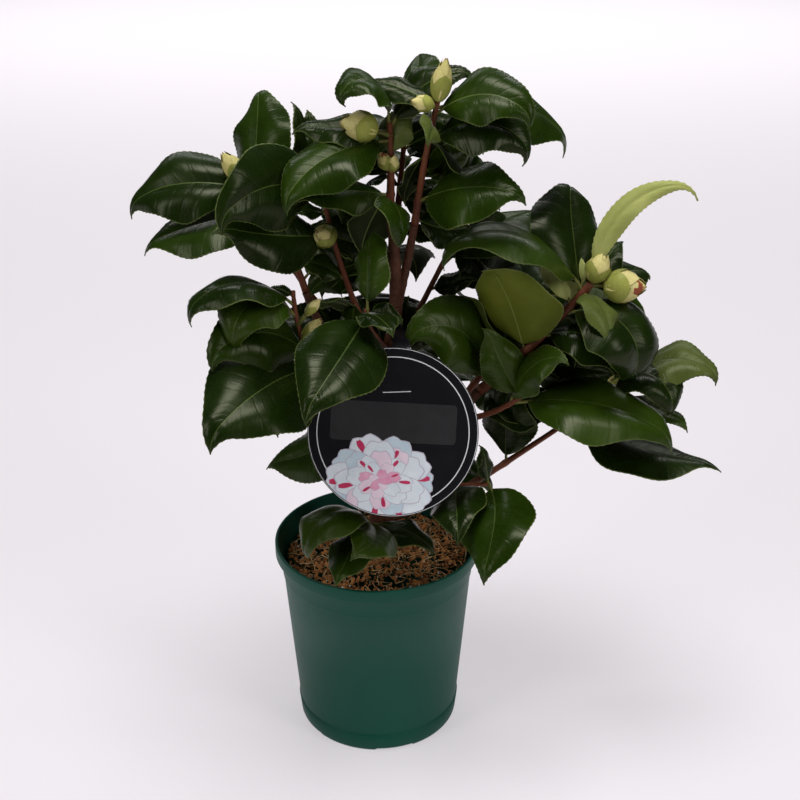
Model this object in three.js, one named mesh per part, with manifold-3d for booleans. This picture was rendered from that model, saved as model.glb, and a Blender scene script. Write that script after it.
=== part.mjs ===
// Camellia shrub in a 13 cm nursery pot, with a round hang label looped on its stem.
// Millimetres, +Z up, +X to the right seen from the front (-Y).
// The origin is the middle of the pot's flat underside.

import * as THREE from 'three';
import { mergeVertices } from 'three/addons/utils/BufferGeometryUtils.js';
import Module from 'manifold-3d';

const wasm = await Module();
wasm.setup();

// ---- driving dimensions ----

const clearance = 0.3; // gap that separate pieces keep

const pot = {
  height: 130.6,
  rimRadius: 65,
  baseRadius: 52,
  wall: 1.8,
  floor: 2.6,
  lipHeight: 8.6,
  lipOverhang: 3.2,
  ringHeight: 108, // faint step round the body
  ringStep: 0.5,
  footHeight: 13.5, // the body steps in above this foot band
  footStep: 0.6,
  edgeRadius: 3,
  sides: 36,
  notchWidth: 24, // drainage notches in the lower edge
  notchHeight: 2.4,
  notchDepth: 9,
  notchTurns: [-72, 0, 72, 144, 216], // degrees round the pot
};

const soil = { top: 119, mound: 2, drop: 1.2 };

const limbs = {
  trunk: {
    foot: [0, 0, 121.3], tip: [12, -2, 288], bow: [-3, 1, 0], radii: [5.6, 4.2],
    flare: 3.4, flareLength: 11, sides: 10, steps: 12,
  },
  bough_main: { from: 'trunk', tip: [9, -4, 348], bow: [2, 0, 0], radii: [3.9, 2.7] },
  bough_upper: { on: 'trunk', at: 0.96, tip: [23, 2, 336], bow: [1, 0, 0], radii: [3.0, 2.3] },
  bough_left: { on: 'trunk', at: 0.55, tip: [-40, -4, 297], bow: [-6, 0, -8], radii: [3.4, 2.3] },
  bough_right: { on: 'trunk', at: 0.36, tip: [62, -8, 236], bow: [4, 0, -6], radii: [4.3, 3.1] },
  bough_low: { on: 'trunk', at: 0.12, tip: [68, -20, 186], bow: [4, 0, -5], radii: [3.1, 2.0] },
};

// Each mass of leaves grows from one stem. A row of leaves holds, in millimetres and degrees:
// place along the stem, heading (0 right, 90 back, 180 left, 270 front), rise, length,
// droop, sweep, roll, width
// A row of buds holds: place along the stem, heading, rise, stalk, length, width
const masses = {
  leaves_left: {
    from: 'bough_left', tip: [-73, 0, 362], bow: [4, 10, 4], radii: [2.2, 1.3],
    leaves: [
      [0.92, 185, 13, 82, 63, -20, -41, 1.1],
      [0.72, 195, -7, 78, 22, -17, -19, 1.1],
      [0.88, 80, 71, 70, 50, 15, -27, 1.08],
    ],
    buds: [[1.0, 180, 55, 0, 21, 12]],
  },
  leaves_upper_left: {
    on: 'trunk', at: 0.74, tip: [-32, 6, 372], bow: [-12, 4, -6], radii: [2.2, 1.2],
    leaves: [
      [0.68, 212, 8, 79, -18, 6, -54, 1.0],
      [0.82, 139, 69, 61, -5, 3, 15, 0.9],
      [0.86, 235, 30, 90, 80, -15, -75, 1.0],
    ],
    buds: [[0.66, 235, 30, 3, 15, 14]],
  },
  leaves_crown: {
    from: 'bough_main', tip: [9, -2, 396], bow: [1, 0, 0], radii: [2.6, 1.4],
    leaves: [
      [0.80, 202, 0, 82, 60, 22, -20, 1.0],
      [0.15, 199, 14, 59, 23, 8, -28, 1.0],
      [0.60, 24, 89, 32, 75, -3, 47, 1.2],
      [0.95, 5, 60, 61, 74, -6, 36, 0.85],
      [1.00, 217, 89, 58, 187, -9, -19, 1.15],
      [1.00, 48, 36, 68, 25, 52, -35, 1.0],
      [0.90, 177, 5, 56, 9, 0, -21, 1.0],
      [0.05, 280, 24, 47, 176, 19, -35, 1.0],
    ],
    buds: [
      [0.85, 190, 18, 8, 22, 17],
      [0.42, 200, 60, 2, 12, 8],
      [0.42, 300, 65, 1, 11, 7],
    ],
  },
  leaves_top: {
    from: 'bough_upper', tip: [35, -13, 410], bow: [-2, 0, 0], radii: [2.2, 1.4],
    leaves: [
      [0.90, 337, 38, 67, 102, -1, 44, 1.0],
      [0.95, 25, 8, 98, 73, -14, 26, 1.0],
      [0.68, 340, 39, 74, 125, 11, 32, 1.0],
      [0.45, 40, -2, 40, -39, 0, 86, 1.0],
      [0.20, 314, 29, 75, 47, 28, 40, 1.12],
      [0.05, 30, -30, 44, -40, 0, 55, 1.0],
      [0.80, 276, 21, 32, 70, -25, -56, 1.0],
    ],
    buds: [
      [1.0, 0, 80, 0, 24, 11],
      [0.96, 200, 15, 2, 14, 9],
    ],
  },
  leaves_right: {
    from: 'bough_right', tip: [124, -15, 307], bow: [2, 0, -4], radii: [3.0, 1.9],
    leaves: [
      [0.40, 214, 73, 69, 24, 1, 203, 1.5],
      [0.32, 127, 36, 68, 12, 16, 220, 1.0],
      [0.80, 122, 79, 48, 71, -1, 158, 1.0],
      [0.93, 175, 58, 111, 122, 13, 1, 1.0],
      [0.90, 111, 67, 80, 56, -33, 24, 1.25],
      [1.00, 3, 85, 95, 108, -5, 62, 0.28],
      [0.95, 48, 36, 42, 7, 0, 0, 1.0],
      [0.92, 292, 11, 47, 117, 0, -17, 1.0],
      [0.75, 332, 24, 87, 189, -22, 10, 1.15],
      [0.55, 342, 22, 66, 122, -8, 12, 1.2],
      [0.95, 35, 16, 56, 45, 0, 20, 1.1],
      [0.32, 40, -10, 60, 20, 0, 10, 1.2],
      [0.05, 200, 86, 84, 138, 2, -60, 1.05],
      [0.20, 80, 60, 60, 60, 0, 0, 1.2],
    ],
    buds: [
      [1.0, 0, 70, 1, 19, 14],
      [0.98, 350, 2, 8, 25, 19],
    ],
  },
  leaves_low_right: {
    from: 'bough_low', tip: [153, 5, 236], bow: [2, 10, -5], radii: [2.0, 1.2],
    leaves: [
      [0.97, 336, 54, 72, 105, -6, 22, 1.0],
      [0.92, 309, 60, 69, 182, 1, 7, 1.0],
      [0.85, 328, 4, 57, 28, -3, 6, 1.0],
      [0.60, 335, -17, 95, -24, 8, -7, 1.2],
      [0.12, 95, 80, 57, -18, 7, -49, 1.3],
    ],
    buds: [
      [1.0, 0, 0, 1, 11, 7],
      [0.98, 180, 15, 2, 13, 7],
    ],
  },
  leaves_inner_right: {
    on: 'bough_right', at: 0.68, tip: [85, -22, 238], bow: [0, -5, -6], radii: [2.0, 1.5],
    leaves: [
      [0.90, 345, 13, 107, 56, -2, 10, 1.12],
      [1.00, 179, 60, 50, -15, -4, -72, 1.0],
      [0.85, 330, 74, 60, 72, -12, 50, 0.9],
    ],
    buds: [],
  },
  leaves_centre: {
    on: 'trunk', at: 0.83, tip: [-4, -34, 298], bow: [-8, -4, 0], radii: [1.9, 1.3],
    leaves: [
      [0.90, 257, -9, 90, 28, -23, -20, 1.05],
      [0.95, 285, 19, 43, 40, 15, -5, 1.0],
      [1.00, 87, 84, 53, 89, 0, -44, 1.0],
    ],
    buds: [],
  },
  leaves_mid_left: {
    on: 'trunk', at: 0.50, tip: [-46, -20, 304], bow: [-26, -10, -2], radii: [2.1, 1.2],
    leaves: [
      [0.92, 215, 46, 84, 115, -7, 1, 1.0],
      [0.85, 225, 55, 75, 186, 3, -20, 1.0],
      [0.60, 215, 48, 82, 103, 7, -49, 1.0],
      [0.52, 245, 15, 106, 57, -21, -31, 1.14],
      [0.45, 215, -25, 48, 40, 0, -30, 1.0],
      [0.15, 183, -47, 77, -40, -29, -42, 1.0],
    ],
    buds: [
      [0.80, 350, 50, 8, 14, 6],
      [0.70, 330, 50, 1, 20, 8],
    ],
  },
  leaves_foot: {
    on: 'trunk', at: 0.10, tip: [-6, -26, 158], bow: [0, -3, -1], radii: [1.6, 1.1],
    leaves: [
      [0.90, 226, 51, 76, 152, 1, 7, 1.0],
      [1.00, 250, -16, 56, -5, 2, 5, 1.0],
      [0.95, 300, 7, 61, -5, -78, -24, 1.0],
      [0.60, 335, 12, 50, 65, 0, 0, 1.0],
    ],
    buds: [],
  },
  leaves_foot_right: {
    on: 'trunk', at: 0.32, tip: [68, -27, 183], bow: [0, -4, -4], radii: [1.8, 1.2],
    leaves: [
      [1.00, 281, 2, 80, 60, -39, 22, 1.12],
      [0.70, 267, 19, 65, 61, 5, 18, 1.0],
    ],
    buds: [],
  },
};

// Shoots of the inner and far crown. Their leaves stand round them by the golden angle, with seeded
// differences, after the ones planned for the dense heart of the crown.
const fillShoots = {
  leaves_back_middle: {
    on: 'bough_main', at: 0.2, tip: [-20, 30, 366], bow: [2, 12, -12], radii: [2.3, 1.2],
    count: 13, turn: 150,
    planned: [
      [0.30, 178, -20, 53, 25, 0, -78, 1.15],
      [0.30, 176, 25, 50, 25, 0, -75, 1.15],
      [0.50, 3, 27, 44, 25, 0, 75, 1.15],
      [0.50, 189, 57, 34, 20, 0, -70, 1.15],
      [0.75, 360, 33, 58, 20, 0, 70, 1.15],
      [0.40, 6, -40, 51, 10, 0, 78, 1.15],
      [0.20, 168, -57, 48, 10, 0, -70, 1.15],
    ],
  },
  leaves_back_left: {
    on: 'trunk', at: 0.68, tip: [-58, 52, 300], bow: [2, 16, -14], radii: [2.3, 1.2],
    count: 13, turn: 100,
    planned: [
      [0.30, 193, 61, 58, 10, 0, -75, 1.15],
      [0.35, 270, 86, 61, 0, 0, -75, 1.15],
      [0.50, 191, 15, 40, 20, 0, -75, 1.15],
      [0.20, 358, 69, 49, 0, 0, 70, 1.15],
    ],
  },
  leaves_back_inner: {
    on: 'trunk', at: 0.76, tip: [54, 26, 334], bow: [-2, 12, -10], radii: [2.3, 1.2],
    count: 13, turn: 10,
    planned: [
      [0.40, 97, 73, 42, 0, 0, -70, 1.15],
      [0.70, 125, -33, 45, 20, 0, -70, 1.15],
      [0.55, 12, 8, 52, 20, 0, 75, 1.15],
      [0.90, 127, -16, 44, 20, 0, -70, 1.15],
      [0.95, 73, -59, 84, 20, 0, 70, 1.15],
      [0.90, 22, -14, 60, 30, 0, 60, 1.15],
      [0.45, 24, -29, 31, 20, 0, 75, 1.15],
    ],
  },
  leaves_back_right: {
    on: 'bough_right', at: 0.5, tip: [104, 36, 280], bow: [-2, 14, -12], radii: [2.3, 1.2],
    count: 13, turn: 40,
    planned: [
      [0.90, 10, -19, 73, 40, 0, 70, 1.15],
      [1.00, 10, -4, 77, 40, 0, 60, 1.15],
      [0.80, 2, -34, 59, 30, 0, 70, 1.15],
      [0.60, 9, -43, 40, 20, 0, 75, 1.15],
      [0.95, 148, 57, 38, 30, 0, -60, 1.15],
      [0.40, 5, -46, 32, 20, 0, 75, 1.15],
      [0.85, 15, 23, 65, 30, 0, 60, 1.15],
    ],
  },
  leaves_back_low: {
    on: 'trunk', at: 0.26, tip: [14, 72, 236], bow: [0, 16, -14], radii: [2.2, 1.2],
    count: 13, turn: 75,
    planned: [],
  },
  leaves_back_top: {
    on: 'bough_main', at: 0.6, tip: [18, 50, 384], bow: [0, 14, -8], radii: [2.3, 1.2],
    count: 13, turn: 20,
    planned: [
      [0.40, 2, -3, 36, 20, 0, 75, 1.15],
      [0.40, 196, 12, 34, 20, 0, -75, 1.15],
      [0.60, 227, -52, 39, 10, 0, -75, 1.15],
      [0.80, 354, 34, 43, 30, 0, 60, 1.15],
    ],
  },
};
const fillLeaf = { length: 76, seed: 20, nearest: 3.2, lowest: 136, highest: 400, deepest: 125 };

// Open spaces that run from front to back through the crown, kept free of the fill leaves.
const openings = [
  { front: [-93, 0, 312], back: [-108, 100, 277], radius: 13 },
  { front: [-66, 0, 308], back: [-77, 100, 273], radius: 13 },
];

// ---- the rule of growth ----

const leafRule = {
  steps: 24,
  stations: [0, 2, 8, 14, 20, 24], // steps of the midrib that carry a section
  plainStations: [0, 2, 9, 17, 24], // the same for the inner and far leaves
  across: [-1, 0, 1],
  thickness: 1.0,
  stalkShare: 0.085,
  stalkHalfWidth: 0.9,
  stalkThickness: 1.7,
  halfWidthShare: 0.275,
  tipHalfWidth: 0.35,
  tipHook: 50, // degrees that the drip tip bends down
  tipHookStart: 0.82,
  fold: 0.3,
  curl: 0.55,
};

const radians = THREE.MathUtils.degToRad;

function vector(xyz) {
  return new THREE.Vector3(...xyz);
}

// Closed solid through rings of equal count, with flat ends.
function loftSolid(rings) {
  const count = rings[0].length;
  const positions = rings.flat().flatMap((p) => [p.x, p.y, p.z]);
  const triangles = [];
  for (let r = 0; r < rings.length - 1; r++) {
    for (let k = 0; k < count; k++) {
      const a = r * count + k;
      const b = r * count + ((k + 1) % count);
      triangles.push(a, b, b + count, a, b + count, a + count);
    }
  }
  const last = (rings.length - 1) * count;
  for (let k = 1; k < count - 1; k++) {
    triangles.push(0, k + 1, k, last, last + k, last + k + 1);
  }
  const geometry = new THREE.BufferGeometry();
  geometry.setAttribute('position', new THREE.Float32BufferAttribute(positions, 3));
  geometry.setIndex(triangles);
  return toSolid(geometry);
}

function toSolid(geometry) {
  const plain = geometry.clone();
  plain.deleteAttribute('normal');
  plain.deleteAttribute('uv');
  const merged = mergeVertices(plain, 1e-4);
  const vertProperties = new Float32Array(merged.attributes.position.array);
  let triVerts = new Uint32Array(merged.index.array);
  if (signedVolume(vertProperties, triVerts) < 0) triVerts = turnedInsideOut(triVerts);
  return new wasm.Manifold(new wasm.Mesh({ numProp: 3, vertProperties, triVerts }));
}

function signedVolume(points, triangles) {
  let volume = 0;
  const [a, b, c] = [new THREE.Vector3(), new THREE.Vector3(), new THREE.Vector3()];
  for (let i = 0; i < triangles.length; i += 3) {
    a.fromArray(points, 3 * triangles[i]);
    b.fromArray(points, 3 * triangles[i + 1]);
    c.fromArray(points, 3 * triangles[i + 2]);
    volume += a.dot(b.cross(c)) / 6;
  }
  return volume;
}

function turnedInsideOut(triangles) {
  const turned = new Uint32Array(triangles.length);
  for (let i = 0; i < triangles.length; i += 3) {
    turned.set([triangles[i], triangles[i + 2], triangles[i + 1]], i);
  }
  return turned;
}

function toGeometry(solid) {
  const mesh = solid.getMesh();
  const geometry = new THREE.BufferGeometry();
  const positions = new Float32Array(mesh.vertProperties);
  geometry.setAttribute('position', new THREE.BufferAttribute(positions, 3));
  geometry.setIndex(new THREE.BufferAttribute(new Uint32Array(mesh.triVerts), 1));
  return geometry;
}

// Where a limb or stem begins: on its carrier's axis, or just past its carrier's tip.
function footOf(limb) {
  if (limb.foot) return vector(limb.foot);
  if (limb.on) return limbCurve(limbs[limb.on]).getPoint(limb.at);
  const carrier = limbCurve(limbs[limb.from]);
  return carrier.getPoint(1).addScaledVector(carrier.getTangent(1), clearance);
}

function limbCurve(limb) {
  const foot = footOf(limb);
  const tip = vector(limb.tip);
  const middle = foot.clone().add(tip).multiplyScalar(0.5).add(vector(limb.bow));
  return new THREE.QuadraticBezierCurve3(foot, middle, tip);
}

// The direction that a limb's foot faces: level on the ground, flush with its carrier's tip elsewhere.
function footDirection(limb, curve) {
  if (limb.foot) return new THREE.Vector3(0, 0, 1);
  if (limb.from) return limbCurve(limbs[limb.from]).getTangent(1);
  return curve.getTangent(0);
}

function limbSolid(limb, margin = 0) {
  const { sides = 7, steps = 6 } = limb;
  const curve = limbCurve(limb);
  const length = curve.getLength();
  const [rootRadius, tipRadius] = limb.radii;
  const rings = [];
  for (let i = 0; i <= steps; i++) {
    const t = i / steps;
    const flare = limb.flare ? limb.flare * Math.exp((-t * length) / limb.flareLength) : 0;
    const radius = THREE.MathUtils.lerp(rootRadius, tipRadius, t) + flare + margin;
    const along = i === 0 ? footDirection(limb, curve) : curve.getTangent(t);
    const side = new THREE.Vector3(0, 1, 0).cross(along).normalize();
    const front = along.clone().cross(side);
    const centre = curve.getPoint(t);
    rings.push(Array.from({ length: sides }, (_, k) => {
      const turn = (2 * Math.PI * k) / sides;
      return centre.clone()
        .addScaledVector(side, radius * Math.cos(turn))
        .addScaledVector(front, radius * Math.sin(turn));
    }));
  }
  return loftSolid(rings);
}

// A limb grown by the clearance, to cut what meets it.
function sheath(limb) {
  return limbSolid(limb, clearance / Math.cos(Math.PI / (limb.sides ?? 7)));
}

// The midrib and the blade's own directions at each step of a leaf.
function leafFrames(base, [, heading, rise, length, droop, sweep, roll]) {
  const { steps, tipHook, tipHookStart } = leafRule;
  const pitchAt = (s) =>
    radians(rise - droop * s ** 1.5 - (tipHook * Math.max(0, s - tipHookStart)) / (1 - tipHookStart));
  const headingAt = (s) => radians(heading + sweep * s);
  const tilt = radians(roll);
  const point = base.clone();
  const frames = [];
  for (let i = 0; i <= steps; i++) {
    const s = i / steps;
    const [pitch, turn] = [pitchAt(s), headingAt(s)];
    const up = new THREE.Vector3(
      -Math.sin(pitch) * Math.cos(turn), -Math.sin(pitch) * Math.sin(turn), Math.cos(pitch));
    const right = new THREE.Vector3(Math.sin(turn), -Math.cos(turn), 0);
    const normal = up.clone().multiplyScalar(Math.cos(tilt)).addScaledVector(right, Math.sin(tilt));
    const across = right.clone().multiplyScalar(Math.cos(tilt)).addScaledVector(up, -Math.sin(tilt));
    frames.push({ s, point: point.clone(), normal, across });
    const [nextPitch, nextTurn] = [pitchAt(s + 0.5 / steps), headingAt(s + 0.5 / steps)];
    point.add(new THREE.Vector3(
      Math.cos(nextPitch) * Math.cos(nextTurn),
      Math.cos(nextPitch) * Math.sin(nextTurn),
      Math.sin(nextPitch)).multiplyScalar(length / steps));
  }
  return frames;
}

function halfWidthAt(s, length, wide) {
  const { stalkShare, stalkHalfWidth, halfWidthShare, tipHalfWidth } = leafRule;
  if (s < stalkShare) return stalkHalfWidth;
  const u = (s - stalkShare) / (1 - stalkShare);
  const outline = Math.sin(Math.PI * u ** 0.8) ** 0.88 * (1 - 0.6 * u ** 4);
  return Math.max(halfWidthShare * wide * length * (outline || 0), tipHalfWidth);
}

// A point of the blade's upper face: s along the midrib's frame, v from -1 to 1 across.
function bladePoint(frame, v, halfWidth) {
  const { fold, curl } = leafRule;
  return frame.point.clone()
    .addScaledVector(frame.across, v * halfWidth)
    .addScaledVector(frame.normal, halfWidth * (fold * Math.abs(v) - curl * v * v));
}

function leafSolid(base, leaf, stations) {
  const [length, wide] = [leaf[3], leaf[7]];
  const frames = leafFrames(base, leaf);
  const rings = stations.map((i) => {
    const frame = frames[i];
    const inStalk = frame.s < leafRule.stalkShare;
    const halfWidth = halfWidthAt(frame.s, length, wide);
    const depth = inStalk ? leafRule.stalkThickness : leafRule.thickness;
    const upper = leafRule.across.map((v) => bladePoint(frame, v, halfWidth));
    const lower = upper.map((p) => p.clone().addScaledVector(frame.normal, -depth)).reverse();
    return [...upper, ...lower];
  });
  return loftSolid(rings);
}

// Points spread over a leaf, for telling how near it comes to others.
function leafPoints(base, leaf) {
  const points = [];
  leafFrames(base, leaf).forEach((frame, i) => {
    if (i < 2 || i % 2) return;
    const halfWidth = halfWidthAt(frame.s, leaf[3], leaf[7]);
    for (let v = -3; v <= 3; v++) points.push(bladePoint(frame, v / 3, halfWidth));
  });
  return points;
}

function limbPoints(limb) {
  const curve = limbCurve(limb);
  return Array.from({ length: 25 }, (_, k) => curve.getPoint(k / 24));
}

function seededNumbers(seed) {
  let state = seed;
  return () => {
    state = (state * 16807) % 2147483647;
    return state / 2147483647;
  };
}

// Leaves of the inner and far shoots: those planned for a dense place first, then those of the golden angle,
// less the ones that would leave the crown or touch something.
function growFillShoots() {
  const random = seededNumbers(fillLeaf.seed);
  const taken = Object.values(limbs).map((limb) => ({ points: limbPoints(limb), radius: limb.radii[0] }));
  for (const [name, mass] of Object.entries(masses)) {
    const curve = limbCurve(mass);
    taken.push({ name, points: limbPoints(mass) });
    for (const leaf of mass.leaves) taken.push({ name, points: leafPoints(curve.getPoint(leaf[0]), leaf) });
  }
  for (const [name, shoot] of Object.entries(fillShoots)) taken.push({ name, points: limbPoints(shoot) });
  for (const [name, shoot] of Object.entries(fillShoots)) {
    const curve = limbCurve(shoot);
    shoot.buds = [];
    shoot.leaves = [];
    const candidates = [...shoot.planned];
    for (let k = 0; k < shoot.count; k++) {
      const share = (k + 0.5) / shoot.count;
      candidates.push([
        0.14 + 0.86 * share,
        shoot.turn + 137.5 * k + 20 * (random() - 0.5),
        -15 + 70 * share + 14 * (random() - 0.5),
        fillLeaf.length * (0.85 + 0.3 * random()),
        35 + 45 * random(),
        0,
        24 * (random() - 0.5),
        1,
      ]);
    }
    for (const leaf of candidates) {
      const points = leafPoints(curve.getPoint(leaf[0]), leaf);
      if (!inCrown(points) || taken.some((other) => other.name !== name && tooNear(points, other))) continue;
      shoot.leaves.push(leaf);
      taken.push({ name, points });
    }
    masses[name] = shoot;
  }
}

function inCrown(points) {
  const { lowest, highest, deepest } = fillLeaf;
  const inReach = (p) => p.z > lowest && p.z < highest && p.y < deepest;
  return points.every((p) => inReach(p) && !openings.some((o) => inOpening(p, o)));
}

function inOpening(point, { front, back, radius }) {
  const middle = new THREE.Line3(vector(front), vector(back));
  return middle.closestPointToPoint(point, true, new THREE.Vector3()).distanceTo(point) < radius;
}

function tooNear(points, { points: others, radius = 0 }) {
  const nearest = fillLeaf.nearest + radius;
  return points.some((p) => others.some((q) => p.distanceTo(q) < nearest));
}

// A pointed egg on a short stalk.
function budSolid(base, [, heading, rise, stalk, length, width]) {
  const radius = width / 2;
  const profile = [
    [0, -1], [1.1, -1], [1.1, stalk], [0.8 * radius, stalk + 0.14 * length],
    [radius, stalk + 0.4 * length], [0.7 * radius, stalk + 0.74 * length], [0, stalk + length],
  ].map(([x, y]) => new THREE.Vector2(x, y));
  const geometry = new THREE.LatheGeometry(profile, 7);
  const axis = new THREE.Vector3(
    Math.cos(radians(rise)) * Math.cos(radians(heading)),
    Math.cos(radians(rise)) * Math.sin(radians(heading)),
    Math.sin(radians(rise)));
  geometry.applyQuaternion(new THREE.Quaternion().setFromUnitVectors(new THREE.Vector3(0, 1, 0), axis));
  geometry.translate(base.x, base.y, base.z);
  return toSolid(geometry);
}

function massSolid(mass) {
  const curve = limbCurve(mass);
  const solids = [limbSolid(mass)];
  const stations = mass.count ? leafRule.plainStations : leafRule.stations;
  for (const leaf of mass.leaves) solids.push(leafSolid(curve.getPoint(leaf[0]), leaf, stations));
  for (const bud of mass.buds) solids.push(budSolid(curve.getPoint(bud[0]), bud));
  let solid = wasm.Manifold.union(solids);
  if (mass.on) solid = solid.subtract(sheath(limbs[mass.on]));
  return largestBody(solid);
}

// Fills hollows that fusing sealed and drops loose scraps.
function largestBody(solid) {
  const bodies = solid.decompose();
  return bodies.reduce((largest, body) => (body.volume() > largest.volume() ? body : largest));
}

// ---- the pot and what it holds ----

function turned(points, sides) {
  return toSolid(new THREE.LatheGeometry(points.map(([x, y]) => new THREE.Vector2(x, y)), sides))
    .rotate([90, 0, 0]);
}

function bodyRadiusAt(z) {
  const lipFoot = pot.height - pot.lipHeight;
  return THREE.MathUtils.lerp(pot.baseRadius, pot.rimRadius - pot.lipOverhang, z / lipFoot);
}

function potSolid() {
  const { height, wall, edgeRadius, rimRadius, footHeight, footStep, ringHeight, ringStep } = pot;
  const lipFoot = height - pot.lipHeight;
  const profile = [
    [0, 0],
    [pot.baseRadius - edgeRadius, 0],
    [pot.baseRadius - 0.3 * edgeRadius, 0.3 * edgeRadius],
    [pot.baseRadius, edgeRadius],
    [bodyRadiusAt(footHeight), footHeight],
    [bodyRadiusAt(footHeight) - footStep, footHeight + footStep],
    [bodyRadiusAt(ringHeight) - footStep, ringHeight],
    [bodyRadiusAt(ringHeight) - footStep + ringStep, ringHeight + ringStep],
    [bodyRadiusAt(lipFoot), lipFoot],
    [rimRadius - 0.7, lipFoot],
    [rimRadius, lipFoot + 0.7],
    [rimRadius, height - 0.7],
    [rimRadius - 0.7, height],
    [rimRadius - wall, height],
    [rimRadius - wall - 0.6, height - 0.8],
    [bodyRadiusAt(lipFoot) - wall, lipFoot - 1.5],
    [pot.baseRadius - wall, pot.floor + edgeRadius],
    [pot.baseRadius - wall - edgeRadius, pot.floor],
    [0, pot.floor],
  ];
  let solid = turned(profile, pot.sides);
  for (const turn of pot.notchTurns) {
    const notch = new THREE.BoxGeometry(pot.notchWidth, 2 * pot.notchDepth, 2 * pot.notchHeight);
    notch.translate(0, -pot.baseRadius, 0);
    notch.rotateZ(radians(turn + 12));
    solid = solid.subtract(toSolid(notch));
  }
  return solid;
}

function soilSolid() {
  const { wall, floor, edgeRadius, baseRadius } = pot;
  const edge = bodyRadiusAt(soil.top) - wall - clearance - 0.4;
  const profile = [
    [0, floor + clearance],
    [baseRadius - wall - edgeRadius - clearance, floor + clearance],
    [baseRadius - wall - clearance - 0.4, floor + edgeRadius + clearance],
    [edge, soil.top - soil.drop],
    [0.8 * edge, soil.top],
    [0.3 * edge, soil.top + soil.mound],
    [0, soil.top + soil.mound],
  ];
  return turned(profile, pot.sides);
}

// ---- the hang label: a disc, a strap and a loop round the trunk ----

const label = {
  radius: 49,
  thickness: 1,
  centre: [10.6, -50, 229],
  leanBack: 18, // degrees
  turn: 3,
  sides: 36,
  strapWidth: 10,
  strapOffset: 4, // the strap leaves the disc a little right of its middle
  strapRise: 8,
  loopAt: 0.93, // place along the trunk
  loopHeight: 8,
  loopThickness: 1,
};

function labelSolid() {
  const disc = new THREE.CylinderGeometry(label.radius, label.radius, label.thickness, label.sides);
  const place = new THREE.Matrix4().makeTranslation(...label.centre)
    .multiply(new THREE.Matrix4().makeRotationX(-radians(label.leanBack)))
    .multiply(new THREE.Matrix4().makeRotationY(radians(label.turn)));
  disc.applyMatrix4(place);

  const trunkCurve = limbCurve(limbs.trunk);
  const loopCentre = trunkCurve.getPoint(label.loopAt);
  const inner = limbs.trunk.radii[1] + 0.8;
  const outer = inner + label.loopThickness;
  const half = label.loopHeight / 2;
  const loop = turned([[inner, -half], [outer, -half], [outer, half], [inner, half], [inner, -half]], 20)
    .translate(loopCentre.toArray());

  const start = new THREE.Vector3(label.strapOffset, 0, label.radius - 6).applyMatrix4(place);
  const end = loopCentre.clone().add(new THREE.Vector3(1, -inner - 0.5, 0));
  const middle = start.clone().add(end).multiplyScalar(0.5).add(new THREE.Vector3(0, 0, label.strapRise));
  const route = new THREE.QuadraticBezierCurve3(start, middle, end);
  const rings = [];
  for (let i = 0; i <= 6; i++) {
    const point = route.getPoint(i / 6);
    const along = route.getTangent(i / 6);
    const side = new THREE.Vector3(1, 0, 0);
    const up = side.clone().cross(along).normalize();
    const width = (label.strapWidth / 2) * (i === 6 ? 0.6 : 1);
    rings.push([[-1, -1], [1, -1], [1, 1], [-1, 1]].map(([a, b]) => point.clone()
      .addScaledVector(side, a * width)
      .addScaledVector(up, (b * label.thickness) / 2)));
  }
  return wasm.Manifold.union([toSolid(disc), loftSolid(rings), loop]);
}

// ---- the finished group ----

const finishes = {
  plastic: { color: 0x1f6a56, roughness: 0.5, metalness: 0 },
  soil: { color: 0x4a2d1c, roughness: 0.95, metalness: 0 },
  bark: { color: 0x5b3a28, roughness: 0.8, metalness: 0 },
  leaf: { color: 0x1d3a16, roughness: 0.35, metalness: 0 },
  card: { color: 0x15151a, roughness: 0.25, metalness: 0 },
};

const shrub = new THREE.Group();

function addNode(name, solid, finish) {
  const mesh = new THREE.Mesh(toGeometry(solid), new THREE.MeshStandardMaterial(finishes[finish]));
  mesh.name = name;
  shrub.add(mesh);
}

function boughSolid(limb) {
  let solid = limbSolid(limb);
  if (limb.on) {
    solid = solid.subtract(sheath(limbs.trunk)).subtract(sheath(limbs.bough_main));
  }
  return largestBody(solid);
}

growFillShoots();
addNode('pot', potSolid(), 'plastic');
addNode('root_ball', soilSolid(), 'soil');
addNode('trunk', limbSolid(limbs.trunk), 'bark');
for (const name of Object.keys(limbs).filter((key) => key !== 'trunk')) {
  addNode(name, boughSolid(limbs[name]), 'bark');
}
for (const [name, mass] of Object.entries(masses)) addNode(name, massSolid(mass), 'leaf');
addNode('label', labelSolid(), 'card');

export default shrub;
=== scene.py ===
import math
import time

import bmesh
import bpy
from mathutils import Matrix, Quaternion, Vector, noise


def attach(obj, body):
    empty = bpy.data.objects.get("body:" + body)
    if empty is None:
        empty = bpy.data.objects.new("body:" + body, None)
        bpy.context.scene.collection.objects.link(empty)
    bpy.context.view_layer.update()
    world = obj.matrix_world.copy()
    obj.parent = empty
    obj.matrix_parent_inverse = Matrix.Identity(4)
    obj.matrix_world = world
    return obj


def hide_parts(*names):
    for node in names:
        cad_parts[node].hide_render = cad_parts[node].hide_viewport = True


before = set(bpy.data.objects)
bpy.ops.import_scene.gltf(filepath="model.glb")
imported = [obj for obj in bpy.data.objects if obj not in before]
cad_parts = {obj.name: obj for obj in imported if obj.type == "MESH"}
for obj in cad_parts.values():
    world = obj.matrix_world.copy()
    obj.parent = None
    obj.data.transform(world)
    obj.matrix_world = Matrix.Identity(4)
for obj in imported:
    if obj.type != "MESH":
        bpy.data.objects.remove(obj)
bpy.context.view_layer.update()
startTime = time.time()


def report(text):
    print(f"{time.time() - startTime:6.1f} s  {text}")


# the plant's growth, in millimetres and degrees

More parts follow.
